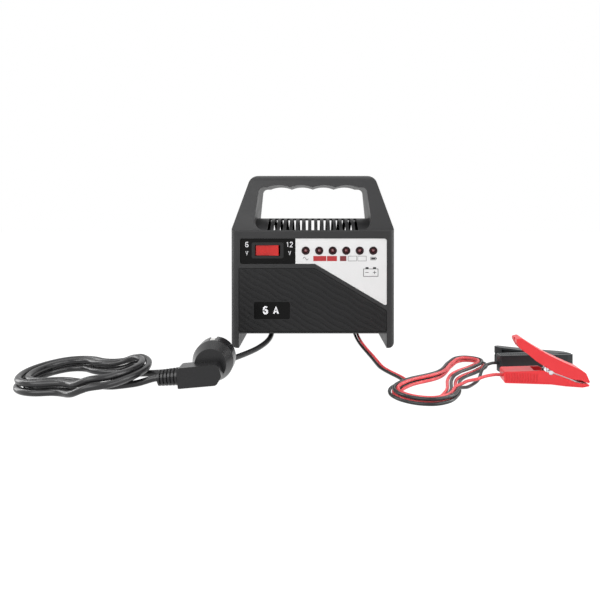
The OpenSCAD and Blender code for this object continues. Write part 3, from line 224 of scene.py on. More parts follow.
def ink(name, colour):
    """Printing ink, a little uneven."""
    f = Finish(name)
    return f.surface(
        f.blend(f.noise(700).step(*TONES), scaled(colour, 0.88), scaled(colour, 1.08)),
        around(0.4, f.noise(300, 2), 0.2), f.noise(2500, 2), 0.06, 0.0002)


def label_film():
    """Silver-white film with fine metal flakes."""
    f = Finish("label_film", Coat_Weight=0.25, Coat_Roughness=0.2, Metallic=0.15)
    flakes = f.cells(2600).step(0.1, 0.7)
    return f.surface(
        f.blend(0.3 * flakes + 0.5 * f.noise(18), (0.6, 0.6, 0.6), (0.69, 0.69, 0.69)),
        around(0.36, f.noise(60), 0.2), f.noise(3000, 2), 0.05, 0.0002)


def lamp_lens():
    """Dark red lens of a lamp that is off."""
    f = Finish("lamp_lens", Coat_Weight=0.6, Coat_Roughness=0.06,
               Subsurface_Weight=0.3, Subsurface_Radius=(0.002, 0.0008, 0.0008))
    return f.surface(
        f.blend(f.noise(500, 2).step(*TONES), (0.09, 0.014, 0.018), (0.17, 0.035, 0.04)),
        around(0.2, f.noise(200, 2), 0.15), f.noise(SPECK, 2), 0.05, 0.0002)


def laminations():
    """The core's stacked steel sheets, seen edge on, with some rust."""
    f = Finish("laminations", Metallic=0.85)
    sheets, rust = f.along(1).wave(0.0005), f.noise(90, 5)
    return f.surface(
        f.blend(rust.step(0.55, 0.75), (0.16, 0.16, 0.17), (0.2, 0.1, 0.06)),
        0.35 + 0.3 * rust, 0.8 * sheets + 0.2 * rust, 0.4)


def enamelled_wire():
    """Copper wire in its enamel, with the turns of the layer below in its bumps, and painted shade between
    the turns and a painted highlight on them.
    """
    f = Finish("enamelled_wire", Metallic=0.6)
    turns = f.along(2).wave(0.0009)
    # the colour follows the same wave: painted shade, darker in the grooves between turns, and a painted
    # highlight, lighter on their crests
    return f.surface(
        f.blend(turns, (0.25, 0.08, 0.03), (0.75, 0.33, 0.12)),
        0.25 + 0.2 * f.noise(120), turns, 0.7, 0.0005)


def circuit_board():
    """Green board with its tracks under the lacquer."""
    f = Finish("circuit_board", Coat_Weight=0.3)
    tracks = f.cells(230).step(0.18, 0.24)
    return f.surface(
        f.blend(tracks, (0.05, 0.24, 0.1), (0.02, 0.12, 0.05)),
        0.25 + 0.2 * f.noise(80), tracks, 0.2, 0.0002)


SOFT_BLACK = (0.02, 0.02, 0.022)
FINISH = {
    "case": plastic(
        "case_plastic", (0.0222, 0.0222, 0.0229), rough=0.44, grain=1500, depth=0.2, shine=0.26),
    "panel": plastic(
        "panel_plastic", (0.0095, 0.0095, 0.01), rough=0.4, grain=1700, depth=0.16, shine=0.24),
    "switch_black": plastic(
        "switch_plastic", (0.0022, 0.0022, 0.0022), rough=0.3, grain=2400, depth=0.05, shine=0.12),
    "switch_frame": plastic(
        "switch_frame_plastic", (0.012, 0.012, 0.0125), rough=0.35, grain=2400, depth=0.06, shine=0.25),
    "rating": plastic(
        "rating_film", (0.002, 0.002, 0.002), rough=0.28, grain=2600, depth=0.04, shine=0.12),
    "collar": plastic(
        "collar_plastic", (0.016, 0.0025, 0.004), rough=0.25, grain=2400, depth=0.03),
    "rocker_red": plastic(
        "rocker_plastic", (0.47, 0.01, 0.008), rough=0.26, grain=2600, depth=0.04, spread=0.08, coat=0.3),
    "base_black": plastic(
        "base_plastic", SOFT_BLACK, rough=0.5, grain=1600, depth=0.15),
    "bobbin_white": plastic(
        "bobbin_nylon", (0.75, 0.72, 0.62), rough=0.4, grain=2000, depth=0.05, spread=0.06),
    "part_black": plastic(
        "component_resin", SOFT_BLACK, rough=0.35, grain=2400, depth=0.06),
    "plug_black": plastic(
        "plug_rubber", (0.0075, 0.0075, 0.0083), rough=0.28, grain=2000, depth=0.08, coat=0.05, shine=0.34),
    "clip_red": plastic(
        "clip_red_plastic", (0.64, 0.02, 0.026), rough=0.34, grain=2000, depth=0.06,
        spread=0.07, coat=0.1, shine=0.4),
    "clip_black": plastic(
        "clip_black_plastic", (0.018, 0.021, 0.0225), rough=0.34, grain=2000, depth=0.08, shine=0.26),
    "steel": metal("zinc_steel", (0.62, 0.63, 0.65), rough=0.32),
    "clip_steel": metal("clip_zinc_steel", (0.72, 0.72, 0.74), rough=0.28),
    "pin_metal": metal("nickel", (0.75, 0.74, 0.72), rough=0.18, along=(1, 12, 1), lines=300, depth=0.03),
    "sink": metal(
        "extruded_aluminium", (0.7, 0.71, 0.73), rough=0.35, along=(1, 1, 0.05), lines=900, depth=0.1),
    "tab": metal("plated_brass", (0.75, 0.58, 0.28), rough=0.3),
    "mains_cord": rubber("mains_rubber", (0.011, 0.011, 0.012), rough=0.3, depth=0.01, shine=0.42),
    "red_wire": rubber("red_pvc", (0.6, 0.062, 0.07), rough=0.36),
    "black_wire": rubber("black_pvc", (0.009, 0.0105, 0.0112), rough=0.32),
    "label": label_film(),
    "lamp": lamp_lens(),
    "lamination": laminations(),
    "copper": enamelled_wire(),
    "board": circuit_board(),
}

# the switch's frame is a lighter black than the plate around it, which shares its slot
OWN_FINISH = {"rocker_frame": "switch_frame"}
for part in frame["record"]["subparts"]:
    finish = FINISH[OWN_FINISH.get(part["node"], part["material_slot"])]
    slots = nodes[part["node"]].data.materials
    if not slots:
        slots.append(finish)
    for i in range(len(slots)):
        slots[i] = finish


# ---------------------------------------------------------------- routes, in millimetres
def unit(v):
    return v.normalized()


def ease(t):
    """A soft climb from 0 to 1 while t goes from 0 to 1."""
    return (1 - cos(pi * max(0, min(1, t)))) / 2


def placed(p, at, angle, z):
    """A point of the plan turned by an angle in degrees, moved to its place and lifted to z."""
    a = radians(angle)
    return V((at[0] + p[0] * cos(a) - p[1] * sin(a), at[1] + p[0] * sin(a) + p[1] * cos(a), z))


def smooth(points):
    """The route through the points, with one more point between each two."""
    p = [V(q) for q in points]
    p = [2 * p[0] - p[1]] + p + [2 * p[-1] - p[-2]]
    route = []
    for a, b, c, d in zip(p, p[1:], p[2:], p[3:]):
        for t in (0.0, 0.5):
            route.append(0.5 * (2 * b + (c - a) * t + (2 * a - 5 * b + 4 * c - d) * t ** 2
                                + (3 * b - a - 3 * c + d) * t ** 3))
    return route + [p[-2]]


# A hank's track is a loop drawn in at its waist. Each point of a turn of cord lies on the arc that
# rounds off one of the track's ten corners, so many sixths of the way round it.
TURN_CORNER = [0, 0, 1, 2, 2, 2, 3, 3, 3, 4, 5, 5, 5, 6, 7, 7, 7, 8, 8, 8, 9, 0]
TURN_SIXTHS = [3, 5, 3, 1, 3, 5, 1, 3, 5, 3, 1, 3, 5, 3, 1, 3, 5, 1, 3, 5, 3, 1]
TURN_POINTS = len(TURN_CORNER)
WAIST_CORNERS = (0, 5)


def inset(corners, gap):
    """The corners of a track that runs a gap further in."""
    moved = []
    for i, q in enumerate(corners):
        before, after = unit(q - corners[i - 1]), unit(corners[(i + 1) % len(corners)] - q)
        a, b = V((-before.y, before.x)), V((-after.y, after.x))
        moved.append(q + (a + b) * gap / (1 + a.dot(b)))
    return moved


def arc_point(p, q, r, radius, part):
    """The point that lies a part of the way round the arc that rounds off the corner q."""
    a, b = unit(p - q), unit(r - q)
    half = math.acos(max(-1, min(1, a.dot(b)))) / 2
    centre = q + unit(a + b) * radius / sin(half)
    start = q + a * radius / tan(half) - centre
    end = q + b * radius / tan(half) - centre
    first = math.atan2(start.y, start.x)
    sweep = (math.atan2(end.y, end.x) - first + pi) % (2 * pi) - pi
    return centre + radius * V((cos(first + sweep * part), sin(first + sweep * part)))


def track_point(corners, radii, gap, i):
    """Point i of a cord that runs a gap inside the track."""
    pts = inset([V(c) for c in corners], gap)
    c = TURN_CORNER[i % TURN_POINTS]
    radius = radii[c] + (gap if c in WAIST_CORNERS else -gap)
    part = TURN_SIXTHS[i % TURN_POINTS] / 6
    return arc_point(pts[c - 1], pts[c], pts[(c + 1) % len(pts)], radius, part)


SLEEVE_SLOPE = radians(30)
SLEEVE_DIR = V((0, -cos(SLEEVE_SLOPE), -sin(SLEEVE_SLOPE)))
SLEEVE_L = 22.5
SLEEVE_Y, SLEEVE_Z = 20, 30

# The mains cord's hank has three and a half turns in two layers. The cord climbs from the lower
# layer to the upper one between the two numbers of turns in MAINS_CLIMB.
MAINS_D, MAINS_R = 5.8, 2.9
MAINS_TURNS = 3.5
MAINS_CLIMB = (1.5, 2)
MAINS_WAIST = 33
MAINS_HANK_AT, MAINS_HANK_ANGLE = (-204, -170), -12
SIDE_GAP, LAYER_GAP, CROSSING_GAP = 1.8, 0.8, 0.6
CROSSING_FROM, CROSSING_TO = 10, 32
mains_start = V((-48, SLEEVE_Y, SLEEVE_Z)) + SLEEVE_L * SLEEVE_DIR
mains_step = MAINS_D + SIDE_GAP
mains_layer = MAINS_D + LAYER_GAP
mains_fold = 3 * MAINS_D
mains_lobe_r = mains_fold + MAINS_CLIMB[0] * mains_step
# the sides draw in to the waist at this slope
mains_slope = radians(30)
mains_t = mains_lobe_r * tan(mains_slope / 2)
mains_side = mains_t + mains_fold * tan(mains_slope)
mains_c = mains_side * cos(mains_slope)
mains_b = MAINS_WAIST + mains_side * sin(mains_slope)
mains_a = mains_c + mains_lobe_r + mains_t
mains_corners = [
    (0, MAINS_WAIST), (-mains_c, mains_b), (-mains_a, mains_b), (-mains_a, -mains_b), (-mains_c, -mains_b),
    (0, -MAINS_WAIST), (mains_c, -mains_b), (mains_a, -mains_b), (mains_a, mains_b), (mains_c, mains_b)]
mains_radii = ([mains_fold] + [mains_lobe_r] * 4) * 2


def mains_track(i):
    """Point i of the hank: inwards, half a turn up to the upper layer, and outwards again."""
    turn = i / TURN_POINTS
    foot, top = MAINS_CLIMB
    turns_in = max(foot - turn, 0, turn - top)
    p = track_point(mains_corners, mains_radii, mains_step * turns_in, i)
    climb = mains_layer * ease((turn - foot) / (top - foot))
    # the right-hand lobe rests on the two ends of the cord, which pass below it
    lift = (MAINS_D + CROSSING_GAP) * ease((p.x - CROSSING_FROM) / (CROSSING_TO - CROSSING_FROM))
    return placed(p, MAINS_HANK_AT, MAINS_HANK_ANGLE, MAINS_R + climb + lift)


def mains_spot(x, y, z):
    return placed((x, y), MAINS_HANK_AT, MAINS_HANK_ANGLE, z)


mains_hank = [mains_track(i) for i in range(int(MAINS_TURNS * TURN_POINTS) + 1)]
mains_last = mains_hank[-1]
mains_out = placed((1, 0), (0, 0), MAINS_HANK_ANGLE, 0)

PLUG_AT, PLUG_ROLL = V((-90, -168, 18.5)), radians(-5)
PLUG_BLOCK_L, BOOT_L = 27, 18.5
PLUG_CABLE_Y, PLUG_CABLE_Z = -14, -6.5


def plug_spot(x, y, z):
    """A point of the plug, which lies rolled a little on its rim."""
    roll = PLUG_ROLL
    return PLUG_AT + V((x * cos(roll) + z * sin(roll), y, z * cos(roll) - x * sin(roll)))


boot_end = plug_spot(-PLUG_BLOCK_L - BOOT_L, PLUG_CABLE_Y, PLUG_CABLE_Z)

mains_lead = [mains_start] + smooth([
    mains_start + MAINS_D * SLEEVE_DIR, mains_start + V((-0.1, -17, -6.6)),
    mains_start + V((-1, -30, -9.6)), (-52.5, -44, 6.6), (-60, -60, 4.1), (-69, -76, 3),
    (-79, -94, MAINS_R), (-90.5, -111, MAINS_R),
    (-104.5, -126.5, MAINS_R), (-122, -140.5, MAINS_R), (-142, -148.5, MAINS_R),
    mains_spot(36, 27, MAINS_R), mains_spot(17, 26.5, MAINS_R), mains_hank[0]])
mains_tail = smooth([
    mains_last, mains_last + 12 * mains_out - V((0, 0, 0.5)), mains_spot(24, -19.5, 5.6),
    mains_spot(35.5, -11.5, MAINS_R), boot_end - V((25, 2.2, 5)), boot_end - V((18.5, 0.6, 4.6)),
    boot_end - V((12, 0, 2.9)), boot_end - V((6, 0, 0.9))]) + [boot_end]
mains_route = mains_lead + mains_hank[1:] + mains_tail[1:]

# The battery leads run side by side, red on the left of their way. Their hank takes these points
# of its track, and the pair climbs over a quarter of a turn.
LEAD_D, LEAD_R, LEAD_GAP = 2.8, 1.4, 0.6
LEAD_LOOPS = range(2, 54)
LEAD_CLIMB, CLIMB_TURNS = 1.215, 0.25
LEFT_LOBE_R, WAIST_R = 26, 30
LEAD_WAIST = 14.5
SHOULDER_X, SHOULDER_Y = 40, 28
LEAD_HANK_AT, LEAD_HANK_ANGLE = (123, -159), 54
leads_start = V((50, SLEEVE_Y, SLEEVE_Z)) + SLEEVE_L * SLEEVE_DIR
lead_step = LEAD_D + LEAD_GAP
right_lobe_r = 3 * LEAD_D + 3 * lead_step
lead_corners = [
    (0, LEAD_WAIST), (-SHOULDER_X, SHOULDER_Y), (-80, SHOULDER_Y),
    (-80, -SHOULDER_Y), (-SHOULDER_X, -SHOULDER_Y),
    (0, -LEAD_WAIST), (38, -20), (76, -20), (76, 20), (38, 20)]
lead_radii = [WAIST_R] + [LEFT_LOBE_R] * 4 + [WAIST_R] + [right_lobe_r] * 4


def lead_track(inner, i):
    """Point i of a lead's hank: inwards for a little over a turn, up, and outwards again."""
    turn = (i - LEAD_LOOPS.start) / TURN_POINTS
    pairs_in = min(turn, 2 * LEAD_CLIMB + CLIMB_TURNS - turn)
    p = track_point(lead_corners, lead_radii, (2 * pairs_in + inner) * lead_step, i)
    climb = lead_step * ease((turn - LEAD_CLIMB) / CLIMB_TURNS)
    return placed(p, LEAD_HANK_AT, LEAD_HANK_ANGLE, LEAD_R + climb)


lead_turn = math.atan2(SHOULDER_Y - LEAD_WAIST, SHOULDER_X) / 2
lead_in = placed((-cos(lead_turn), sin(lead_turn)), (0, 0), LEAD_HANK_ANGLE, 0)
lead_out = placed((cos(lead_turn), sin(lead_turn)), (0, 0), LEAD_HANK_ANGLE, 0)
pair_end = (lead_track(0, LEAD_LOOPS.start) + lead_track(1, LEAD_LOOPS.start)) / 2
pair_middle = [leads_start] + smooth([
    leads_start + LEAD_D * SLEEVE_DIR, leads_start + V((0.3, -14, -6.6)),
    leads_start + V((1.6, -28, -10.4)), (54.5, -46, 5.2), (58.5, -66, 2.9), (62, -86, 1.8),
    (64.5, -106, LEAD_R), (67, -125, LEAD_R),
    (72.5, -141, LEAD_R), (79, -155.5, LEAD_R), (82.1, -165.5, LEAD_R), (80.5, -173.2, LEAD_R), pair_end])


def lead_and_hank(inner):
    """A lead up to the end of its hank: inner is 1 on the left of its way and 0 on the right."""
    ways = [unit(unit(c - b) + unit(b - a))
            for a, b, c in zip(pair_middle, pair_middle[1:], pair_middle[2:])]
    beside = [p + (0.5 - inner) * lead_step * unit(way.cross(V((0, 0, 1))))
              for p, way in zip(pair_middle, [SLEEVE_DIR] + ways + [lead_in])]
    return beside + [lead_track(inner, i) for i in LEAD_LOOPS[1:]]


CLIP_SCALE = 72 / 75.4
CLIP_TAIL = (-39 * CLIP_SCALE, -7.7 * CLIP_SCALE)
RED_AT, RED_YAW = V((206.5, -173, 14.8 * CLIP_SCALE + 0.2)), -6
BLACK_AT, BLACK_YAW = V((214.4, -124.5, 8.3)), 5
# the red clip stands on its base lever, and the black one lies on its side
red_end = RED_AT + placed((CLIP_TAIL[0], 0), (0, 0), RED_YAW, CLIP_TAIL[1])
black_end = BLACK_AT + placed(CLIP_TAIL, (0, 0), BLACK_YAW, 0)
red_dir = placed((1, 0), (0, 0), RED_YAW, 0)
black_dir = placed((1, 0), (0, 0), BLACK_YAW, 0)
red_last, black_last = lead_track(1, LEAD_LOOPS[-1]), lead_track(0, LEAD_LOOPS[-1])
red_tail = smooth([
    red_last, red_last + 8 * lead_out + V((0, 0, 0.5)), (128, -190, 5.6), (135, -183, 5.8),
    (145, -176.2, 5.2), (154, -170.9, 6.2), red_end - 6 * red_dir]) + [red_end]
black_tail = smooth([
    black_last, black_last + 9 * lead_out, (131.5, -191, 2.8), (139.5, -180, LEAD_R), (147.5, -169, LEAD_R),
    (153.5, -157, 2.2), (158.5, -147, 4.6), (165, -139, 7.2), black_end - 6 * black_dir]) + [black_end]
red_route = lead_and_hank(1) + red_tail[1:]
black_route = lead_and_hank(0) + black_tail[1:]


# ---------------------------------------------------------------- cords
CURVE_PARTS = 8
EASE_PASSES = 4
HELD = 3
STEPS_PER_DIAMETER = 3
BEVEL_STEPS = 6


def fine_curve(route):
    """Many points on one smooth curve through a route's points."""
    p = [V(q) for q in route]
    h = [(b - a).length for a, b in zip(p, p[1:])]
    way = [(b - a) / length for a, b, length in zip(p, p[1:], h)]
    bends = [(way[i - 1] * h[i] + way[i] * h[i - 1]) / (h[i - 1] + h[i]) for i in range(1, len(h))]
    slope = [way[0]] + bends + [way[-1]]
    fine = []
    for i, length in enumerate(h):
        for j in range(CURVE_PARTS):
            u = j / CURVE_PARTS
            fine.append((2 * u ** 3 - 3 * u ** 2 + 1) * p[i] + (u ** 3 - 2 * u ** 2 + u) * length * slope[i]
                        + (3 * u ** 2 - 2 * u ** 3) * p[i + 1] + (u ** 3 - u ** 2) * length * slope[i + 1])
    return fine + [p[-1]]


def even_steps(fine, step):
    """The same curve in even steps."""
    run = [0.0]
    for a, b in zip(fine, fine[1:]):
        run.append(run[-1] + (b - a).length)
    count = round(run[-1] / step)
    points, j = [], 0
    for i in range(count + 1):
        at = run[-1] * i / count
        while j < len(fine) - 2 and run[j + 1] < at:
            j += 1
        points.append(fine[j].lerp(fine[j + 1], min(1, (at - run[j]) / (run[j + 1] - run[j]))))
    return points


def eased(points):
    """The points drawn halfway towards their neighbours' middle, apart from the few held at each end."""
    for _ in range(EASE_PASSES):
        inner = [points[i].lerp((points[i - 1] + points[i + 1]) / 2, 0.5)
                 for i in range(HELD, len(points) - HELD)]
        points = points[:HELD] + inner + points[-HELD:]
    return points


def cord(name, route, d, slot, replaced, **facts):
    """A cord's piece: one smooth curve along its route, no lower than the floor."""
    run = eased(even_steps(fine_curve(route), d / STEPS_PER_DIAMETER))
    points = [V((q.x, q.y, max(q.z, d / 2))) * MM for q in run]
    curve = bpy.data.curves.new(name, "CURVE")
    curve.dimensions = "3D"
    line = curve.splines.new("POLY")
    line.points.add(len(points) - 1)
    for knot, p in zip(line.points, points):
        knot.co = (*p, 1)
    curve.bevel_depth = d / 2 * MM
    curve.bevel_resolution = BEVEL_STEPS
    curve.use_fill_caps = True
    curve.materials.append(FINISH[slot])
    piece = in_scene(name, curve)
    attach(piece, "charger")
    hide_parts(*replaced)


PLUG_PARTS = ("plug_boot", "plug_body", "plug_pins", "plug_earth_strips")
CLIP_PARTS = ("base", "lever", "base_jaw", "lever_jaw", "pin", "spring")
cord("mains_cord", mains_route, MAINS_D, "mains_cord", ("mains_lead", "mains_hank", "mains_tail"),
     far_end="plug", stiffness="medium", lay="coiled",
     with_pieces=[nodes[part] for part in PLUG_PARTS])
cord("red_cord", red_route, LEAD_D, "red_wire", ("red_lead", "red_hank", "red_tail"),
     far_end="connector", stiffness="limp", lay="coiled",
     with_pieces=[nodes["red_clip_" + part] for part in CLIP_PARTS])
cord("black_cord", black_route, LEAD_D, "black_wire", ("black_lead", "black_hank", "black_tail"),
     far_end="connector", stiffness="limp", lay="coiled",
     with_pieces=[nodes["black_clip_" + part] for part in CLIP_PARTS])

# ---------------------------------------------------------------- wire turns on the windings, in metres
PROUD = 0.0003
CORNER_R, CORNER_STEPS = 0.003, 5
WIRE_SIDES = 8


def stacked_turns(name, sizes):
    """A Geometry Nodes tree that stacks loops of wire, and its sizes by their sockets' identifiers."""
    group = bpy.data.node_groups.new(name, "GeometryNodeTree")
    group.interface.new_socket("Geometry", in_out="INPUT", socket_type="NodeSocketGeometry")
    given = {}
    for label, size in sizes.items():
        kind = "NodeSocketInt" if isinstance(size, int) else "NodeSocketFloat"
        socket = group.interface.new_socket(label, in_out="INPUT", socket_type=kind)
        given[socket.identifier] = size
    group.interface.new_socket("Geometry", in_out="OUTPUT", socket_type="NodeSocketGeometry")
    tree = Tree(group)
    asked = tree.add("NodeGroupInput")
    sides = {"Width": asked["Width"], "Height": asked["Depth"]}
    box = tree.add("GeometryNodeCurvePrimitiveQuadrilateral", sides)
    corners = {"Curve": box[0], "Radius": CORNER_R, "Count": CORNER_STEPS}
    loop = tree.add("GeometryNodeFilletCurve", corners, mode="POLY")
    round_wire = {"Resolution": WIRE_SIDES, "Radius": Value(tree, asked["Wire"]) * 0.5}
    ring = tree.add("GeometryNodeCurvePrimitiveCircle", round_wire)
    turn = tree.add("GeometryNodeCurveToMesh", {"Curve": loop[0], "Profile Curve": ring[0]})
    up = tree.add("ShaderNodeCombineXYZ", {"Z": asked["Pitch"]})
    row = tree.add("GeometryNodeMeshLine", {"Count": asked["Count"], "Offset": up[0]}, mode="OFFSET")
    stack = tree.add("GeometryNodeInstanceOnPoints", {"Points": row[0], "Instance": turn[0]})
    real = tree.add("GeometryNodeRealizeInstances", {0: stack[0]})
    painted = tree.add("GeometryNodeSetMaterial", {"Geometry": real[0], "Material": FINISH["copper"]})
    tree.add("NodeGroupOutput", {0: painted[0]})
    return group, given


def wire_turns(name, winding, count, wire):
    """Even turns of wire round a winding's block, which stand a little proud of it."""
    corners = [v.co for v in nodes[winding].data.vertices]
    low = V([min(c[i] for c in corners) for i in range(3)])
    high = V([max(c[i] for c in corners) for i in range(3)])
    size, middle = high - low, (low + high) / 2
    pitch = (size.z - wire) / (count - 1)
    group, given = stacked_turns(name, {
        "Width": size.x, "Depth": size.y, "Pitch": pitch, "Count": count, "Wire": wire})
    seed = in_scene(name + "_seed", bpy.data.meshes.new(name + "_seed"))
    turns = seed.modifiers.new("turns", "NODES")
    turns.node_group = group
    for identifier, value in given.items():
        turns[identifier] = value
    mesh = bpy.data.meshes.new_from_object(seed.evaluated_get(bpy.context.evaluated_depsgraph_get()))
    bpy.data.objects.remove(seed)
    outwards = 2 * PROUD - wire
    for v in mesh.vertices:
        v.co = V((v.co.x * (1 + outwards / size.x) + middle.x,
                  v.co.y * (1 + outwards / size.y) + middle.y,
                  v.co.z + low.z + wire / 2))
    piece = in_scene(name, mesh)
    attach(piece, "charger")


wire_turns("primary_turns", "primary_winding", 18, 0.0008)
wire_turns("secondary_turns", "secondary_winding", 9, 0.0016)

# ---------------------------------------------------------------- printed marks, in millimetres
INK = {
    "red": ink("ink_red", (0.36, 0.012, 0.016)),
    "dark": ink("ink_dark_red", (0.15, 0.012, 0.016)),
    "black": ink("ink_black", (0.012, 0.012, 0.014)),
    "white": ink("ink_white", (0.78, 0.78, 0.8)),
}
INK_T = 0.06
# the front face of each printed plate or film
FACE_Y = {"label": -43.5, "switch_black": -42.0, "rating": -43.45}


def printed(name, shapes, slot, colour):
    """Flat marks from polygons of the front view, a film's thickness proud of the slot's face."""
    y = FACE_Y[slot]
    marks = bmesh.new()
    for shape in shapes:
        front = [marks.verts.new((x * MM, (y - INK_T) * MM, z * MM)) for x, z in shape]
        back = [marks.verts.new((x * MM, y * MM, z * MM)) for x, z in shape]
        marks.faces.new(front)
        marks.faces.new(back[::-1])
        for a, b, c, d in zip(front, front[1:] + front[:1], back, back[1:] + back[:1]):
            marks.faces.new((b, a, c, d))
    bmesh.ops.recalc_face_normals(marks, faces=marks.faces)
    mesh = bpy.data.meshes.new(name)
    marks.to_mesh(mesh)
    marks.free()
    mesh.materials.append(INK[colour])
    piece = in_scene(name, mesh)
    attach(piece, "charger")


def rect(left, low, right, high):
    """A rectangle's four corners."""
    return [(left, low), (right, low), (right, high), (left, high)]


def empty_box(left, low, right, high, line):
    """The four sides of a box."""
    return [rect(left, low, right, low + line),
            rect(left, high - line, right, high),
            rect(left, low + line, left + line, high - line),
            rect(right - line, low + line, right, high - line)]


def arc(x, z, across, up, start, end, steps):
    """Points round an ellipse, from one angle to another in degrees."""
    angles = [radians(start + (end - start) * i / steps) for i in range(steps + 1)]
    return [(x + across * cos(a), z + up * sin(a)) for a in angles]


def stroke(points, width):
    """A line through the points, as quads that meet at mitred joints."""
    points = [V(p) for p in points]
    ways = [unit(b - a) for a, b in zip(points, points[1:])]
    sides = []
    for p, a, b in zip(points, ways[:1] + ways, ways + ways[-1:]):
        n1, n2 = V((-a.y, a.x)), V((-b.y, b.x))
        off = (n1 + n2) * (width / 2) / max(0.5, 1 + n1.dot(n2))
        sides.append((tuple(p + off), tuple(p - off)))
    return [[a, b, d, c] for (a, b), (c, d) in zip(sides, sides[1:])]


# each sign's lines, for a foot at 0 and a height of 1
SIGNS = {
    "6": [[(0.24, 0.93)] + arc(0, 0.62, 0.27, 0.38, 80, 180, 8) + arc(0, 0.28, 0.27, 0.28, 180, 530, 20)],
    "1": [[(-0.14, 0.78), (0.06, 0.98), (0.06, 0)]],
    "2": [arc(0, 0.72, 0.26, 0.28, 165, -35, 12) + [(-0.27, 0.02), (-0.27, 0), (0.28, 0)]],
    "V": [[(-0.3, 1), (0, 0), (0.3, 1)]],
    "A": [[(-0.32, 0), (0, 1), (0.32, 0)], [(-0.17, 0.3), (0.17, 0.3)]],
}
CROSSBAR = 0.8


def sign(mark, x, z, height, width):
    """One plain digit or unit sign: its middle x, foot z, height and line width."""
    scale = height - width
    shapes = []
    for i, line in enumerate(SIGNS[mark]):
        points = [(x + u * scale, z + width / 2 + v * scale) for u, v in line]
        shapes += stroke(points, width * CROSSBAR if i else width)
    return shapes


# under the lamps: a bar diagram, a wave sign for the mains and a full cell
FIRST_LAMP_X = -8
LAST_LAMP_X = FIRST_LAMP_X + 5 * 15.26
SIGN_Z = 100.9
BAR_LOW, BAR_HIGH = 98, 103.8
BAR_LINE = 0.4
red_bars = [rect(0.6, BAR_LOW, 15.3, BAR_HIGH), rect(16, BAR_LOW, 27.3, BAR_HIGH)]
dark_bars = [rect(30.7, BAR_LOW, 37.9, BAR_HIGH)]
empty_bars = empty_box(39.7, BAR_LOW, 49.6, BAR_HIGH, BAR_LINE)
empty_bars += empty_box(50.6, BAR_LOW, 60.6, BAR_HIGH, BAR_LINE)
printed("gauge_red", red_bars, "label", "red")
printed("gauge_dark", dark_bars, "label", "dark")
printed("gauge_boxes", empty_bars, "label", "black")
wave = [(FIRST_LAMP_X - 3 + 0.5 * i, SIGN_Z + 1.6 * sin(radians(30 * i))) for i in range(13)]
printed("mains_sign", stroke(wave, 0.55), "label", "black")
full_cell = empty_box(LAST_LAMP_X - 3.2, SIGN_Z - 1.8, LAST_LAMP_X + 3.2, SIGN_Z + 1.8, 0.45)
full_cell += [rect(LAST_LAMP_X + 3.2, SIGN_Z - 0.7, LAST_LAMP_X + 3.9, SIGN_Z + 0.7)]
full_cell += [rect(LAST_LAMP_X - 2.3, SIGN_Z - 1, LAST_LAMP_X + 2.3, SIGN_Z + 1)]
printed("full_sign", full_cell, "label", "black")

# a battery with its two posts, a minus and a plus
LINE = 0.6
HALF = LINE / 2
BATTERY_TOP, POST_TOP, POST_W = 89.5, 91.2, 3.5
PLUS_X, PLUS_Z, PLUS_REACH = 69.8, 85.2, 1.9
battery = empty_box(57, 80.5, 74, BATTERY_TOP, LINE)
battery += [rect(x, BATTERY_TOP, x + POST_W, POST_TOP) for x in (59.5, 68)]
battery += stroke([(59.4, PLUS_Z), (63.1, PLUS_Z)], LINE)
battery += [rect(PLUS_X - PLUS_REACH, PLUS_Z - HALF, PLUS_X + PLUS_REACH, PLUS_Z + HALF)]
battery += [rect(PLUS_X - HALF, PLUS_Z + HALF, PLUS_X + HALF, PLUS_Z + PLUS_REACH)]
battery += [rect(PLUS_X - HALF, PLUS_Z - PLUS_REACH, PLUS_X + HALF, PLUS_Z - HALF)]
printed("battery_sign", battery, "label", "black")

# the two voltages at the switch, and the current on the rating plate
VOLTS = {"z": 113.6, "height": 6.2, "width": 0.8}
VOLT_UNIT = {"z": 104.6, "height": 5.0, "width": 0.7}
AMPS = {"z": 37.8, "height": 9.4, "width": 2.0}
AMP_UNIT = {"z": 37.8, "height": 9.4, "width": 1.8}
volt_marks = sign("6", -74.6, **VOLTS) + sign("V", -74.6, **VOLT_UNIT)
volt_marks += sign("1", -28.6, **VOLTS) + sign("2", -24.4, **VOLTS) + sign("V", -26.2, **VOLT_UNIT)
amp_mark = sign("6", -53.4, **AMPS) + sign("A", -41.6, **AMP_UNIT)
printed("volt_marks", volt_marks, "switch_black", "white")
printed("amp_mark", amp_mark, "rating", "white")

# ---------------------------------------------------------------- light, floor and background
WORLD_LIGHT = 0.17
FLOOR_SIZE, FLOOR_Z = 4, -0.0002
FLOOR_GREY = (0.8, 0.8, 0.8, 1)
FLOOR_GLOW = 1.18
GLOW_SHARE = 0.85
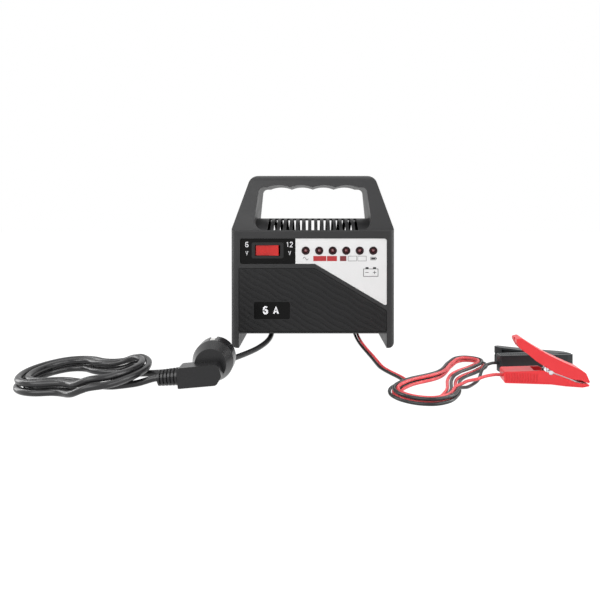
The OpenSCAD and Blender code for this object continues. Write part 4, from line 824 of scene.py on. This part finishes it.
# each lamp's name, place, the point that it faces, width, height and watts
LAMPS = [
    ("key", (-0.5, -1.0, 0.7), (0, 0, 0.08), 0.9, 0.9, 10.5),
    ("fill", (0.9, -0.7, 0.5), (0, 0, 0.08), 0.7, 0.7, 6),
    ("top", (0, 0.1, 1.2), (0, 0, 0.1), 0.9, 0.9, 3.2),
    ("left_edge", (-0.7, -0.05, 0.35), (-0.1, 0, 0.12), 0.2, 0.9, 4.5),
    ("right_edge", (0.7, -0.05, 0.35), (0.1, 0, 0.12), 0.2, 0.9, 4.5),
]


def sees_white(tree):
    """1 for the rays that show the background: seen straight, mirrored or through glass."""
    rays = tree.add("ShaderNodeLightPath")
    straight = Value(tree, rays["Is Camera Ray"])
    return straight.larger(rays["Is Glossy Ray"]).larger(rays["Is Transmission Ray"])


world = bpy.data.worlds.new("white")
scene.world = world
world.use_nodes = True
sky = Tree(world.node_tree)
soft = sky.kept("Background", {"Color": WHITE, "Strength": WORLD_LIGHT})
backdrop = sky.add("ShaderNodeBackground", {"Color": WHITE, "Strength": 1.0})
seen = sky.add("ShaderNodeMixShader", {0: sees_white(sky), 1: soft[0], 2: backdrop[0]})
sky.kept("World Output", {0: seen[0]})

for name, at, faced, width, height, watts in LAMPS:
    lamp = bpy.data.lights.new(name, "AREA")
    lamp.shape = "RECTANGLE"
    lamp.size, lamp.size_y = width, height
    lamp.energy = watts
    stand = in_scene(name, lamp)
    stand.location = at
    stand.rotation_euler = (V(faced) - V(at)).to_track_quat("-Z", "Y").to_euler()

floor_finish = bpy.data.materials.new("floor_white")
floor_finish.use_nodes = True
ground = Tree(floor_finish.node_tree)
matt = ground.kept("Principled BSDF", {"Base Color": FLOOR_GREY, "Roughness": 0.9})
glow = ground.add("ShaderNodeEmission", {"Strength": FLOOR_GLOW})
lit = ground.add("ShaderNodeMixShader", {0: sees_white(ground) * GLOW_SHARE, 1: matt[0], 2: glow[0]})
ground.kept("Material Output", {0: lit[0]})

floor_mesh = bpy.data.meshes.new("floor")
floor_corners = rect(-FLOOR_SIZE, -FLOOR_SIZE, FLOOR_SIZE, FLOOR_SIZE)
floor_mesh.from_pydata([(x, y, FLOOR_Z) for x, y in floor_corners], [], [(0, 1, 2, 3)])
floor_mesh.materials.append(floor_finish)
in_scene("floor", floor_mesh)
